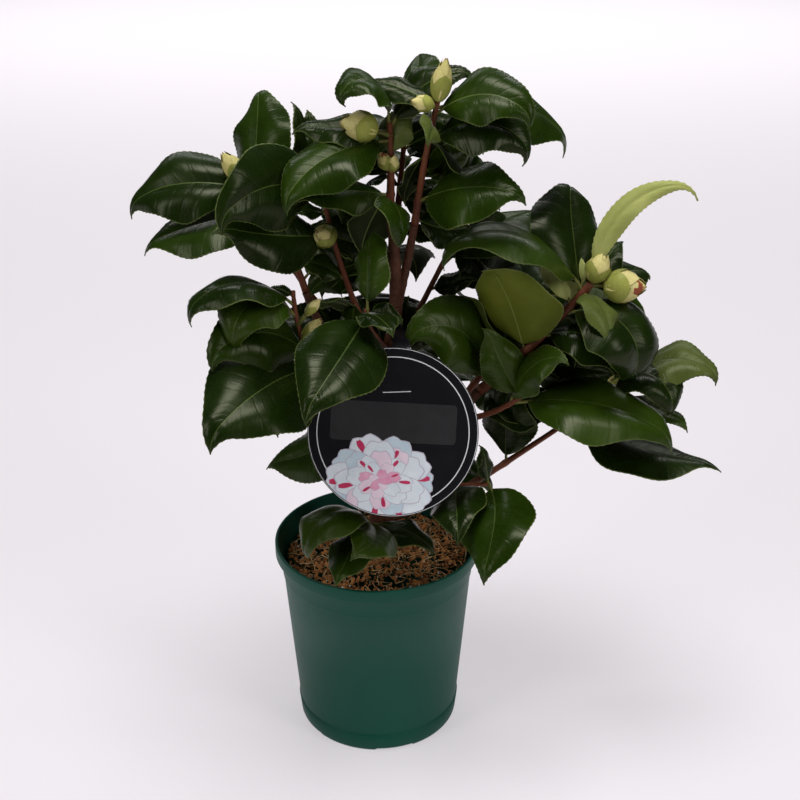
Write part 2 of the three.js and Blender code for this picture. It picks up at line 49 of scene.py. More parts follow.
limbs = {
    "trunk": {
        "foot": [0, 0, 121.3], "tip": [12, -2, 288], "bow": [-3, 1, 0], "radii": [5.6, 4.2],
        "flare": 3.4, "flareLength": 11,
    },
    "bough_main": {"from": "trunk", "tip": [9, -4, 348], "bow": [2, 0, 0], "radii": [3.9, 2.7]},
    "bough_upper": {"on": "trunk", "at": 0.96, "tip": [23, 2, 336], "bow": [1, 0, 0], "radii": [3.0, 2.3]},
    "bough_left": {"on": "trunk", "at": 0.55, "tip": [-40, -4, 297], "bow": [-6, 0, -8], "radii": [3.4, 2.3]},
    "bough_right": {"on": "trunk", "at": 0.36, "tip": [62, -8, 236], "bow": [4, 0, -6], "radii": [4.3, 3.1]},
    "bough_low": {"on": "trunk", "at": 0.12, "tip": [68, -20, 186], "bow": [4, 0, -5], "radii": [3.1, 2.0]},
}

# leaves: place along the stem, heading (0 right, 90 back, 180 left, 270 front), rise, length, droop,
# sweep, roll, width
# buds: place along the stem, heading, rise, stalk, length, width
masses = {
    "leaves_left": {
        "from": "bough_left", "tip": [-73, 0, 362], "bow": [4, 10, 4], "radii": [2.2, 1.3],
        "leaves": [
            [0.92, 185, 13, 82, 63, -20, -41, 1.1],
            [0.72, 195, -7, 78, 22, -17, -19, 1.1],
            [0.88, 80, 71, 70, 50, 15, -27, 1.08],
        ],
        "buds": [[1.0, 180, 55, 0, 21, 12]],
    },
    "leaves_upper_left": {
        "on": "trunk", "at": 0.74, "tip": [-32, 6, 372], "bow": [-12, 4, -6], "radii": [2.2, 1.2],
        "leaves": [
            [0.68, 212, 8, 79, -18, 6, -54, 1.0],
            [0.82, 139, 69, 61, -5, 3, 15, 0.9],
            [0.86, 235, 30, 90, 80, -15, -75, 1.0],
        ],
        "buds": [[0.66, 235, 30, 3, 15, 14]],
    },
    "leaves_crown": {
        "from": "bough_main", "tip": [9, -2, 396], "bow": [1, 0, 0], "radii": [2.6, 1.4],
        "leaves": [
            [0.80, 202, 0, 82, 60, 22, -20, 1.0],
            [0.15, 199, 14, 59, 23, 8, -28, 1.0],
            [0.60, 24, 89, 32, 75, -3, 47, 1.2],
            [0.95, 5, 60, 61, 74, -6, 36, 0.85],
            [1.00, 217, 89, 58, 187, -9, -19, 1.15],
            [1.00, 48, 36, 68, 25, 52, -35, 1.0],
            [0.90, 177, 5, 56, 9, 0, -21, 1.0],
            [0.05, 280, 24, 47, 176, 19, -35, 1.0],
        ],
        "buds": [
            [0.85, 190, 18, 8, 22, 17],
            [0.42, 200, 60, 2, 12, 8],
            [0.42, 300, 65, 1, 11, 7],
        ],
    },
    "leaves_top": {
        "from": "bough_upper", "tip": [35, -13, 410], "bow": [-2, 0, 0], "radii": [2.2, 1.4],
        "leaves": [
            [0.90, 337, 38, 67, 102, -1, 44, 1.0],
            [0.95, 25, 8, 98, 73, -14, 26, 1.0],
            [0.68, 340, 39, 74, 125, 11, 32, 1.0],
            [0.45, 40, -2, 40, -39, 0, 86, 1.0],
            [0.20, 314, 29, 75, 47, 28, 40, 1.12],
            [0.05, 30, -30, 44, -40, 0, 55, 1.0],
            [0.80, 276, 21, 32, 70, -25, -56, 1.0],
        ],
        "buds": [
            [1.0, 0, 80, 0, 24, 11],
            [0.96, 200, 15, 2, 14, 9],
        ],
    },
    "leaves_right": {
        "from": "bough_right", "tip": [124, -15, 307], "bow": [2, 0, -4], "radii": [3.0, 1.9],
        "leaves": [
            [0.40, 214, 73, 69, 24, 1, 203, 1.5],
            [0.32, 127, 36, 68, 12, 16, 220, 1.0],
            [0.80, 122, 79, 48, 71, -1, 158, 1.0],
            [0.93, 175, 58, 111, 122, 13, 1, 1.0],
            [0.90, 111, 67, 80, 56, -33, 24, 1.25],
            [1.00, 3, 85, 95, 108, -5, 62, 0.28],
            [0.95, 48, 36, 42, 7, 0, 0, 1.0],
            [0.92, 292, 11, 47, 117, 0, -17, 1.0],
            [0.75, 332, 24, 87, 189, -22, 10, 1.15],
            [0.55, 342, 22, 66, 122, -8, 12, 1.2],
            [0.95, 35, 16, 56, 45, 0, 20, 1.1],
            [0.32, 40, -10, 60, 20, 0, 10, 1.2],
            [0.05, 200, 86, 84, 138, 2, -60, 1.05],
            [0.20, 80, 60, 60, 60, 0, 0, 1.2],
        ],
        "buds": [
            [1.0, 0, 70, 1, 19, 14],
            [0.98, 350, 2, 8, 25, 19],
        ],
    },
    "leaves_low_right": {
        "from": "bough_low", "tip": [153, 5, 236], "bow": [2, 10, -5], "radii": [2.0, 1.2],
        "leaves": [
            [0.97, 336, 54, 72, 105, -6, 22, 1.0],
            [0.92, 309, 60, 69, 182, 1, 7, 1.0],
            [0.85, 328, 4, 57, 28, -3, 6, 1.0],
            [0.60, 335, -17, 95, -24, 8, -7, 1.2],
            [0.12, 95, 80, 57, -18, 7, -49, 1.3],
        ],
        "buds": [
            [1.0, 0, 0, 1, 11, 7],
            [0.98, 180, 15, 2, 13, 7],
        ],
    },
    "leaves_inner_right": {
        "on": "bough_right", "at": 0.68, "tip": [85, -22, 238], "bow": [0, -5, -6], "radii": [2.0, 1.5],
        "leaves": [
            [0.90, 345, 13, 107, 56, -2, 10, 1.12],
            [1.00, 179, 60, 50, -15, -4, -72, 1.0],
            [0.85, 330, 74, 60, 72, -12, 50, 0.9],
        ],
        "buds": [],
    },
    "leaves_centre": {
        "on": "trunk", "at": 0.83, "tip": [-4, -34, 298], "bow": [-8, -4, 0], "radii": [1.9, 1.3],
        "leaves": [
            [0.90, 257, -9, 90, 28, -23, -20, 1.05],
            [0.95, 285, 19, 43, 40, 15, -5, 1.0],
            [1.00, 87, 84, 53, 89, 0, -44, 1.0],
        ],
        "buds": [],
    },
    "leaves_mid_left": {
        "on": "trunk", "at": 0.50, "tip": [-46, -20, 304], "bow": [-26, -10, -2], "radii": [2.1, 1.2],
        "leaves": [
            [0.92, 215, 46, 84, 115, -7, 1, 1.0],
            [0.85, 225, 55, 75, 186, 3, -20, 1.0],
            [0.60, 215, 48, 82, 103, 7, -49, 1.0],
            [0.52, 245, 15, 106, 57, -21, -31, 1.14],
            [0.45, 215, -25, 48, 40, 0, -30, 1.0],
            [0.15, 183, -47, 77, -40, -29, -42, 1.0],
        ],
        "buds": [
            [0.80, 350, 50, 8, 14, 6],
            [0.70, 330, 50, 1, 20, 8],
        ],
    },
    "leaves_foot": {
        "on": "trunk", "at": 0.10, "tip": [-6, -26, 158], "bow": [0, -3, -1], "radii": [1.6, 1.1],
        "leaves": [
            [0.90, 226, 51, 76, 152, 1, 7, 1.0],
            [1.00, 250, -16, 56, -5, 2, 5, 1.0],
            [0.95, 300, 7, 61, -5, -78, -24, 1.0],
            [0.60, 335, 12, 50, 65, 0, 0, 1.0],
        ],
        "buds": [],
    },
    "leaves_foot_right": {
        "on": "trunk", "at": 0.32, "tip": [68, -27, 183], "bow": [0, -4, -4], "radii": [1.8, 1.2],
        "leaves": [
            [1.00, 281, 2, 80, 60, -39, 22, 1.12],
            [0.70, 267, 19, 65, 61, 5, 18, 1.0],
        ],
        "buds": [],
    },
}

# inner and far shoots, grown by the golden angle with seeded differences
fillShoots = {
    "leaves_back_middle": {
        "on": "bough_main", "at": 0.2, "tip": [-20, 30, 366], "bow": [2, 12, -12], "radii": [2.3, 1.2],
        "turn": 150,
        "planned": [
            [0.30, 178, -20, 53, 25, 0, -78, 1.15],
            [0.30, 176, 25, 50, 25, 0, -75, 1.15],
            [0.50, 3, 27, 44, 25, 0, 75, 1.15],
            [0.50, 189, 57, 34, 20, 0, -70, 1.15],
            [0.75, 360, 33, 58, 20, 0, 70, 1.15],
            [0.40, 6, -40, 51, 10, 0, 78, 1.15],
            [0.20, 168, -57, 48, 10, 0, -70, 1.15],
        ],
    },
    "leaves_back_left": {
        "on": "trunk", "at": 0.68, "tip": [-58, 52, 300], "bow": [2, 16, -14], "radii": [2.3, 1.2],
        "turn": 100,
        "planned": [
            [0.30, 193, 61, 58, 10, 0, -75, 1.15],
            [0.35, 270, 86, 61, 0, 0, -75, 1.15],
            [0.50, 191, 15, 40, 20, 0, -75, 1.15],
            [0.20, 358, 69, 49, 0, 0, 70, 1.15],
        ],
    },
    "leaves_back_inner": {
        "on": "trunk", "at": 0.76, "tip": [54, 26, 334], "bow": [-2, 12, -10], "radii": [2.3, 1.2],
        "turn": 10,
        "planned": [
            [0.40, 97, 73, 42, 0, 0, -70, 1.15],
            [0.70, 125, -33, 45, 20, 0, -70, 1.15],
            [0.55, 12, 8, 52, 20, 0, 75, 1.15],
            [0.90, 127, -16, 44, 20, 0, -70, 1.15],
            [0.95, 73, -59, 84, 20, 0, 70, 1.15],
            [0.90, 22, -14, 60, 30, 0, 60, 1.15],
            [0.45, 24, -29, 31, 20, 0, 75, 1.15],
        ],
    },
    "leaves_back_right": {
        "on": "bough_right", "at": 0.5, "tip": [104, 36, 280], "bow": [-2, 14, -12], "radii": [2.3, 1.2],
        "turn": 40,
        "planned": [
            [0.90, 10, -19, 73, 40, 0, 70, 1.15],
            [1.00, 10, -4, 77, 40, 0, 60, 1.15],
            [0.80, 2, -34, 59, 30, 0, 70, 1.15],
            [0.60, 9, -43, 40, 20, 0, 75, 1.15],
            [0.95, 148, 57, 38, 30, 0, -60, 1.15],
            [0.40, 5, -46, 32, 20, 0, 75, 1.15],
            [0.85, 15, 23, 65, 30, 0, 60, 1.15],
        ],
    },
    "leaves_back_low": {
        "on": "trunk", "at": 0.26, "tip": [14, 72, 236], "bow": [0, 16, -14], "radii": [2.2, 1.2],
        "turn": 75,
        "planned": [],
    },
    "leaves_back_top": {
        "on": "bough_main", "at": 0.6, "tip": [18, 50, 384], "bow": [0, 14, -8], "radii": [2.3, 1.2],
        "turn": 20,
        "planned": [
            [0.40, 2, -3, 36, 20, 0, 75, 1.15],
            [0.40, 196, 12, 34, 20, 0, -75, 1.15],
            [0.60, 227, -52, 39, 10, 0, -75, 1.15],
            [0.80, 354, 34, 43, 30, 0, 60, 1.15],
        ],
    },
}
fillLeaf = {
    "count": 13, "length": 76, "seed": 20, "nearest": 3.2,
    "lowest": 136, "highest": 400, "deepest": 125,
    # first value and growth, along the stem or with the random draw
    "place": (0.14, 0.86), "rise": (-15, 70), "lengthShare": (0.85, 0.3), "droop": (35, 45),
    "goldenAngle": 137.5, "headingSpread": 20, "riseSpread": 14, "rollSpread": 24,
}

# open spaces that run from front to back through the crown, kept free of the fill leaves
openings = [
    {"front": [-93, 0, 312], "back": [-108, 100, 277], "radius": 13},
    {"front": [-66, 0, 308], "back": [-77, 100, 273], "radius": 13},
]

leafRule = {
    "steps": 24,
    "stalkShare": 0.085,
    "stalkHalfWidth": 0.9,
    "halfWidthShare": 0.275,
    "tipHalfWidth": 0.35,
    "outlineSkew": 0.8,
    "outlineFullness": 0.88,
    "tipNarrowing": 0.6,
    "tipHook": 50,
    "tipHookStart": 0.82,
    "droopGrowth": 1.5,
    "fold": 0.3,
    "curl": 0.55,
    "clearance": 0.3,
}


def bezierPoint(curve, t):
    foot, middle, tip = curve
    return foot * (1 - t) ** 2 + middle * (2 * t * (1 - t)) + tip * t ** 2


def bezierTangent(curve, t):
    foot, middle, tip = curve
    return ((middle - foot) * (1 - t) + (tip - middle) * t).normalized()


def limbCurve(limb):
    if "foot" in limb:
        foot = Vector(limb["foot"])
    elif "on" in limb:
        foot = bezierPoint(limbCurve(limbs[limb["on"]]), limb["at"])
    else:
        carrier = limbCurve(limbs[limb["from"]])
        foot = bezierPoint(carrier, 1) + bezierTangent(carrier, 1) * leafRule["clearance"]
    tip = Vector(limb["tip"])
    return foot, (foot + tip) / 2 + Vector(limb["bow"]), tip


def direction(pitch, turn):
    return Vector((math.cos(pitch) * math.cos(turn), math.cos(pitch) * math.sin(turn), math.sin(pitch)))


# midrib points with the blade's own directions
def leafFrames(base, leaf):
    _, heading, rise, length, droop, sweep, roll, _ = leaf
    steps, hookStart = leafRule["steps"], leafRule["tipHookStart"]

    def pitchAt(s):
        hook = leafRule["tipHook"] * max(0, s - hookStart) / (1 - hookStart)
        return math.radians(rise - droop * s ** leafRule["droopGrowth"] - hook)

    def headingAt(s):
        return math.radians(heading + sweep * s)

    tilt = math.radians(roll)
    point = Vector(base)
    frames = []
    for i in range(steps + 1):
        s = i / steps
        pitch, turn = pitchAt(s), headingAt(s)
        up = Vector((-math.sin(pitch) * math.cos(turn), -math.sin(pitch) * math.sin(turn), math.cos(pitch)))
        right = Vector((math.sin(turn), -math.cos(turn), 0))
        normal = up * math.cos(tilt) + right * math.sin(tilt)
        across = right * math.cos(tilt) - up * math.sin(tilt)
        frames.append((s, point.copy(), normal, across))
        point += direction(pitchAt(s + 0.5 / steps), headingAt(s + 0.5 / steps)) * (length / steps)
    return frames


def halfWidthAt(s, length, wide):
    if s < leafRule["stalkShare"]:
        return leafRule["stalkHalfWidth"]
    u = (s - leafRule["stalkShare"]) / (1 - leafRule["stalkShare"])
    bulge = max(0, math.sin(math.pi * u ** leafRule["outlineSkew"])) ** leafRule["outlineFullness"]
    outline = bulge * (1 - leafRule["tipNarrowing"] * u ** 4)
    return max(leafRule["halfWidthShare"] * wide * length * outline, leafRule["tipHalfWidth"])


def bladePoint(frameHere, v, halfWidth, fold=leafRule["fold"], curl=leafRule["curl"]):
    _, point, normal, across = frameHere
    return point + across * (v * halfWidth) + normal * (halfWidth * (fold * abs(v) - curl * v * v))


def seededNumbers(seed):
    state = seed
    while True:
        state = (state * 16807) % 2147483647
        yield state / 2147483647


def leafPoints(base, leaf):
    points = []
    for i, frameHere in enumerate(leafFrames(base, leaf)):
        if i >= 2 and i % 2 == 0:
            halfWidth = halfWidthAt(frameHere[0], leaf[3], leaf[7])
            points += [bladePoint(frameHere, v / 3, halfWidth) for v in range(-3, 4)]
    return points


def limbPoints(limb):
    curve = limbCurve(limb)
    return [bezierPoint(curve, k / 24) for k in range(25)]


def inCrown(points):
    inside = all(fillLeaf["lowest"] < p.z < fillLeaf["highest"] and p.y < fillLeaf["deepest"] for p in points)
    return inside and not any(inOpening(p, opening) for p in points for opening in openings)


def inOpening(point, opening):
    front, back = Vector(opening["front"]), Vector(opening["back"])
    share = (point - front).dot(back - front) / (back - front).length_squared
    nearest = front.lerp(back, min(1, max(0, share)))
    return (nearest - point).length < opening["radius"]


def boxOf(points):
    return [min(p[k] for p in points) for k in range(3)] + [max(p[k] for p in points) for k in range(3)]


def tooNear(points, box, others, otherBox, radius):
    nearest = fillLeaf["nearest"] + radius
    if any(box[k] > otherBox[k + 3] + nearest or otherBox[k] > box[k + 3] + nearest for k in range(3)):
        return False
    return any((p - q).length < nearest for p in points for q in others)


# the k-th leaf of a shoot that the rule adds
def ruledLeaf(shoot, k, random):
    rule = fillLeaf
    share = (k + 0.5) / rule["count"]
    return [
        rule["place"][0] + rule["place"][1] * share,
        shoot["turn"] + rule["goldenAngle"] * k + rule["headingSpread"] * (next(random) - 0.5),
        rule["rise"][0] + rule["rise"][1] * share + rule["riseSpread"] * (next(random) - 0.5),
        rule["length"] * (rule["lengthShare"][0] + rule["lengthShare"][1] * next(random)),
        rule["droop"][0] + rule["droop"][1] * next(random),
        0,
        rule["rollSpread"] * (next(random) - 0.5),
        1,
    ]


# leaves of the inner and far shoots, less those that would leave the crown or touch something
def growFillShoots():
    random = seededNumbers(fillLeaf["seed"])
    taken = [(None, limbPoints(limb), limb["radii"][0]) for limb in limbs.values()]
    for name, mass in masses.items():
        curve = limbCurve(mass)
        taken.append((name, limbPoints(mass), 0))
        taken += [(name, leafPoints(bezierPoint(curve, leaf[0]), leaf), 0) for leaf in mass["leaves"]]
    taken += [(name, limbPoints(shoot), 0) for name, shoot in fillShoots.items()]
    taken = [(name, points, boxOf(points), radius) for name, points, radius in taken]

    def touches(name, points, box):
        return any(other != name and tooNear(points, box, *rest) for other, *rest in taken)

    for name, shoot in fillShoots.items():
        curve = limbCurve(shoot)
        shoot["buds"], shoot["leaves"] = [], []
        for leaf in shoot["planned"] + [ruledLeaf(shoot, k, random) for k in range(fillLeaf["count"])]:
            points = leafPoints(bezierPoint(curve, leaf[0]), leaf)
            box = boxOf(points)
            if inCrown(points) and not touches(name, points, box):
                shoot["leaves"].append(leaf)
                taken.append((name, points, box, 0))


growFillShoots()
masses.update(fillShoots)
report("growth worked out")


# making meshes

millimetre = 0.001


# noise from -1 to 1 on a point in millimetres
def smoothNoise(point, size, seed=0):
    return noise.noise(Vector(point) / size + Vector((seed * 7.3, seed * 3.1, seed * 5.7)))


def addObject(name, data):
    thing = bpy.data.objects.new(name, data)
    bpy.context.collection.objects.link(thing)
    return thing


# bm in millimetres becomes an object in metres that rides with the plant
def finishPiece(bm, name, materials, nodes=(), smooth=True):
    bmesh.ops.scale(bm, vec=(millimetre,) * 3, verts=bm.verts)
    for face in bm.faces:
        face.smooth = smooth
    mesh = bpy.data.meshes.new(name)
    bm.to_mesh(mesh)
    bm.free()
    piece = addObject(name, mesh)
    for material in materials:
        mesh.materials.append(material)
    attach(piece, "root")
    if nodes:
        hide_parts(*nodes)
    report(f"{name}: {len(mesh.polygons)} faces")
    return piece


def facesOf(verts):
    return {face for vert in verts for face in vert.link_faces}


def edgesOf(verts):
    return list({edge for vert in verts for edge in vert.link_edges})


def vertsIn(geometry):
    return [item for item in geometry if isinstance(item, bmesh.types.BMVert)]


def paint(faces, slot):
    for face in faces:
        face.material_index = slot


def tangentsOf(centres):
    tangents = [(b - a).normalized() for a, b in zip(centres, centres[1:])]
    return tangents + tangents[-1:]


def ringFrame(centre, along, radius):
    side = Vector((0, 1, 0)).cross(along).normalized()
    rotation = Matrix((side, along.cross(side), along)).transposed().to_4x4()
    return Matrix.Translation(centre) @ rotation @ Matrix.Diagonal((radius, radius, radius, 1))


# a closed tube through the centres, extruded ring by ring
def growTube(bm, centres, tangents, radii, sides, material=0):
    frames = [ringFrame(c, t, r) for c, t, r in zip(centres, tangents, radii)]
    ring = bmesh.ops.create_circle(bm, cap_ends=True, segments=sides, radius=1, matrix=frames[0])["verts"]
    edges = edgesOf(ring)
    made = set(ring)
    faces = facesOf(ring)
    for before, after in zip(frames, frames[1:]):
        grown = bmesh.ops.extrude_edge_only(bm, edges=edges)["geom"]
        ring = vertsIn(grown)
        edges = [item for item in grown if isinstance(item, bmesh.types.BMEdge)]
        faces |= {item for item in grown if isinstance(item, bmesh.types.BMFace)}
        bmesh.ops.transform(bm, matrix=after @ before.inverted(), verts=ring)
        made |= set(ring)
    edges = [edge for edge in edges if edge.is_valid and edge.is_boundary]
    faces |= set(bmesh.ops.edgeloop_fill(bm, edges=edges)["faces"])
    bmesh.ops.recalc_face_normals(bm, faces=list(faces))
    paint(faces, material)
    return made


# materials


def newMaterial(name):
    material = bpy.data.materials.new(name)
    material.use_nodes = True
    tree = material.node_tree
    return material, tree.nodes, tree.links, tree.nodes["Principled BSDF"]


def addNode(nodes, kind, inputs=None, **settings):
    node = nodes.new(kind)
    for key, value in settings.items():
        setattr(node, key, value)
    for key, value in (inputs or {}).items():
        node.inputs[key].default_value = value
    return node


# each wire is a node, its output, the node that it feeds and that node's input
def wire(links, *wires):
    for source, output, target, socket in wires:
        links.new(source.outputs[output], target.inputs[socket])


# the sockets by name, each with its kind
def makeGroup(name, inputs, outputs):
    group = bpy.data.node_groups.new(name, "ShaderNodeTree")
    for side, sockets in (("INPUT", inputs), ("OUTPUT", outputs)):
        for label, kind in sockets.items():
            group.interface.new_socket(name=label, in_out=side, socket_type="NodeSocket" + kind)
    nodes = group.nodes
    return group, nodes, group.links, nodes.new("NodeGroupInput"), nodes.new("NodeGroupOutput")


# noise on the object's own coordinates
def objectNoise(nodes, links, **inputs):
    noiseNode = addNode(nodes, "ShaderNodeTexNoise", inputs)
    wire(links, (nodes.new("ShaderNodeTexCoord"), "Object", noiseNode, "Vector"))
    return noiseNode


# two colours that drift into each other over the object, at a coarse and a fine size
def makeDriftGroup():
    group, nodes, links, ins, outs = makeGroup(
        "colourDrift",
        {"Colour A": "Color", "Colour B": "Color", "Scale": "Float", "Fine": "Float"},
        {"Color": "Color", "Mask": "Float"})
    coarse = objectNoise(nodes, links, Detail=3.0, Roughness=0.55)
    fine = objectNoise(nodes, links, Scale=900.0, Detail=2.0)
    mixFine = addNode(nodes, "ShaderNodeMix", data_type="FLOAT")
    spread = addNode(nodes, "ShaderNodeMapRange", {"From Min": 0.32, "From Max": 0.68})
    mixColour = addNode(nodes, "ShaderNodeMix", data_type="RGBA")
    wire(
        links,
        (ins, "Scale", coarse, "Scale"), (ins, "Fine", mixFine, "Factor"),
        (coarse, "Fac", mixFine, "A"), (fine, "Fac", mixFine, "B"),
        (mixFine, "Result", spread, "Value"), (spread, "Result", mixColour, "Factor"),
        (ins, "Colour A", mixColour, "A"), (ins, "Colour B", mixColour, "B"),
        (mixColour, "Result", outs, "Color"), (spread, "Result", outs, "Mask"))
    return group


veinShape = {"wobbleScale": 5.0, "wobble": 0.5, "pillow": 0.45, "streakAlong": 7.0, "streakOut": 1.6}


# side veins that leave the midrib and bend to the tip, read from the leaf's own UV map
def makeVeinGroup():
    group, nodes, links, ins, outs = makeGroup(
        "sideVeins", {"Pairs": "Float", "Slant": "Float", "Streaks": "Float"}, {"Height": "Float"})
    coords = nodes.new("ShaderNodeTexCoord")
    split = nodes.new("ShaderNodeSeparateXYZ")
    wobble = addNode(nodes, "ShaderNodeTexNoise", {"Scale": veinShape["wobbleScale"], "Detail": 1.0})
    wire(links, (coords, "UV", split, "Vector"), (coords, "UV", wobble, "Vector"))

    def maths(operation, a, b=None):
        node = addNode(nodes, "ShaderNodeMath", operation=operation)
        for k, value in enumerate((a, b)):
            if value is None:
                continue
            if isinstance(value, (int, float)):
                node.inputs[k].default_value = value
            else:
                links.new(value, node.inputs[k])
        return node.outputs["Value"]

    fromMidrib = maths("MULTIPLY", maths("ABSOLUTE", maths("SUBTRACT", split.outputs["Y"], 0.5)), 2.0)
    slanted = maths("MULTIPLY", fromMidrib, ins.outputs["Slant"])
    along = maths("MULTIPLY", split.outputs["X"], ins.outputs["Pairs"])
    wobbled = maths("MULTIPLY", wobble.outputs["Fac"], veinShape["wobble"])
    phase = maths("ADD", maths("SUBTRACT", along, slanted), wobbled)
    wave = maths("ABSOLUTE", maths("SINE", maths("MULTIPLY", phase, math.pi)))
    pillow = maths("POWER", wave, veinShape["pillow"])
    streakPlace = nodes.new("ShaderNodeCombineXYZ")
    links.new(maths("MULTIPLY", phase, veinShape["streakAlong"]), streakPlace.inputs["X"])
    links.new(maths("MULTIPLY", fromMidrib, veinShape["streakOut"]), streakPlace.inputs["Y"])
    streaks = addNode(nodes, "ShaderNodeTexNoise", {"Scale": 1.0, "Detail": 2.0})
    wire(links, (streakPlace, "Vector", streaks, "Vector"))
    streaked = maths("MULTIPLY", streaks.outputs["Fac"], ins.outputs["Streaks"])
    links.new(maths("ADD", pillow, streaked), outs.inputs["Height"])
    return group


driftGroup = makeDriftGroup()
veinGroup = makeVeinGroup()


# a material whose colour drifts, with one roughness or two that it drifts between
def driftMaterial(name, dark, light, scale, fine, roughness, specular=0.5):
    material, nodes, links, shader = newMaterial(name)
    inputs = {"Colour A": (*dark, 1), "Colour B": (*light, 1), "Scale": scale, "Fine": fine}
    drift = addNode(nodes, "ShaderNodeGroup", inputs, node_tree=driftGroup)
    wire(links, (drift, "Color", shader, "Base Color"))
    if isinstance(roughness, tuple):
        uneven = addNode(nodes, "ShaderNodeMapRange", {"To Min": roughness[0], "To Max": roughness[1]})
        wire(links, (drift, "Mask", uneven, "Value"), (uneven, "Result", shader, "Roughness"))
    else:
        shader.inputs["Roughness"].default_value = roughness
    shader.inputs["Specular IOR Level"].default_value = specular
    return material, nodes, links, shader


def addBump(nodes, links, shader, relief, output, strength, distance):
    bump = addNode(nodes, "ShaderNodeBump", {"Strength": strength, "Distance": distance})
    wire(links, (relief, output, bump, "Height"), (bump, "Normal", shader, "Normal"))


leafSurface = {
    "driftScale": 45.0,
    "driftFine": 0.25,
    "smoother": 0.05,
    "rougher": 0.07,
    "specular": 0.19,
    "specularTint": (1.0, 1.0, 0.72, 1),
    "veins": {"Pairs": 9.0, "Slant": 1.7, "Streaks": 0.9},
    "topRelief": 0.34,
    "underRelief": 0.2,
    "leatherScale": 420.0,
    "leatherShare": 0.10,
    "bumpDistance": 0.0004,
}


def leafMaterial(name, dark, light, roughness, relief=0):
    surface = leafSurface
    material, nodes, links, shader = driftMaterial(
        name, dark, light, surface["driftScale"], surface["driftFine"],
        (roughness - surface["smoother"], roughness + surface["rougher"]), surface["specular"])
    shader.inputs["Specular Tint"].default_value = surface["specularTint"]
    if relief:
        veinNode = addNode(nodes, "ShaderNodeGroup", surface["veins"], node_tree=veinGroup)
        leather = objectNoise(nodes, links, Scale=surface["leatherScale"], Detail=3.0)
        mixed = addNode(nodes, "ShaderNodeMix", {"Factor": surface["leatherShare"]}, data_type="FLOAT")
        wire(links, (veinNode, "Height", mixed, "A"), (leather, "Fac", mixed, "B"))
        addBump(nodes, links, shader, mixed, "Result", relief, surface["bumpDistance"])
    return material


# dark and light colour, roughness
leafLooks = {
    "deep": ((0.0042, 0.0100, 0.0008), (0.0090, 0.0205, 0.0012), 0.27),
    "green": ((0.0080, 0.0185, 0.0008), (0.0160, 0.0360, 0.0014), 0.28),
    "mid": ((0.0140, 0.0300, 0.0016), (0.0270, 0.0520, 0.0030), 0.30),
    "young": ((0.0500, 0.0680, 0.0120), (0.0920, 0.1180, 0.0260), 0.34),
    "lime": ((0.2800, 0.3100, 0.0800), (0.4000, 0.4200, 0.1350), 0.42),
}
# the undersides' dark and light colour, roughness: paler olive as real undersides are, and lighter still as
# painted light that stands in for light shining through the leaf
underLooks = {
    "deep": ((0.0140, 0.0240, 0.0060), (0.0240, 0.0380, 0.0090), 0.5),
    "green": ((0.0220, 0.0360, 0.0060), (0.0380, 0.0580, 0.0100), 0.5),
    "mid": ((0.0400, 0.0600, 0.0090), (0.0700, 0.0950, 0.0150), 0.5),
    "young": ((0.0640, 0.0800, 0.0060), (0.1000, 0.1180, 0.0090), 0.6),
    "lime": ((0.2900, 0.3200, 0.0900), (0.4100, 0.4300, 0.1500), 0.5),
}
tones = list(leafLooks)
midribSlot, marginSlot, underOffset = len(tones), len(tones) + 1, len(tones) + 2
leafMaterials = [
    *(leafMaterial("leafTop" + tone.title(), *leafLooks[tone], leafSurface["topRelief"])
      for tone in tones),
    leafMaterial("leafMidrib", (0.026, 0.046, 0.008), (0.070, 0.100, 0.022), 0.35),
    leafMaterial("leafMargin", (0.030, 0.048, 0.010), (0.110, 0.140, 0.036), 0.4),
    *(leafMaterial("leafUnder" + tone.title(), *underLooks[tone], leafSurface["underRelief"])
      for tone in tones),
    leafMaterial("leafMidribUnder", (0.130, 0.170, 0.040), (0.190, 0.230, 0.060), 0.5),
    leafMaterial("leafMarginUnder", (0.130, 0.160, 0.045), (0.200, 0.230, 0.075), 0.5),
]

# leaves

marginColumn, midribColumn = 0.97, 0.03
leafDetail = {
    "rows": 72,
    "farRows": 42,
    "halfColumns": [midribColumn, 0.2, 0.46, 0.72, marginColumn, 1],
    "overturned": 180,
    "taper": 0.1,
    "crease": 0.3,
    "asymmetry": 0.06,
    "marginWidth": 0.3,
    "midribWidth": 0.5,
    "midribSink": 0.18,
    "toothDepth": 0.45,
    "toothRows": 3,
    "toothed": (0.05, 0.87),
    "wave": 2.0,
    "waves": 15,
    "waveLag": 1.7,
    "fullWaveAt": 12,
    "buckle": 0.7,
    "buckleSize": 17,
    "thickness": 0.45,
    "stalkRadii": (1.35, 1.05, 0.95, 0.9, 0.5),
}
columns = [-v for v in reversed(leafDetail["halfColumns"])] + leafDetail["halfColumns"]

# the tone of each leaf that isn't left to the running number, by its place in its mass's list
leafTones = {
    "leaves_crown": {2: "young", 0: "green", 6: "deep"},
    "leaves_left": {0: "deep", 1: "green", 2: "green"},
    "leaves_upper_left": {0: "deep", 2: "deep"},
    "leaves_top": {3: "mid", 6: "young"},
    "leaves_right": {
        0: "young", 1: "mid", 2: "lime", 3: "mid", 4: "deep", 5: "lime", 6: "deep",
        7: "young", 8: "deep", 9: "deep", 10: "deep", 11: "deep", 12: "mid", 13: "deep",
    },
    "leaves_low_right": {0: "young", 1: "deep", 2: "mid", 3: "deep", 4: "deep"},
    # the first of leaves_inner_right, the large lower leaf, takes the lighter mid tone as painted light that
    # offsets the shade of the leaves above it
    "leaves_inner_right": {0: "mid", 1: "mid", 2: "mid"},
    "leaves_centre": {1: "deep", 2: "mid"},
    "leaves_mid_left": {1: "mid"},
    "leaves_foot": {0: "mid", 1: "green", 2: "mid", 3: "deep"},
}

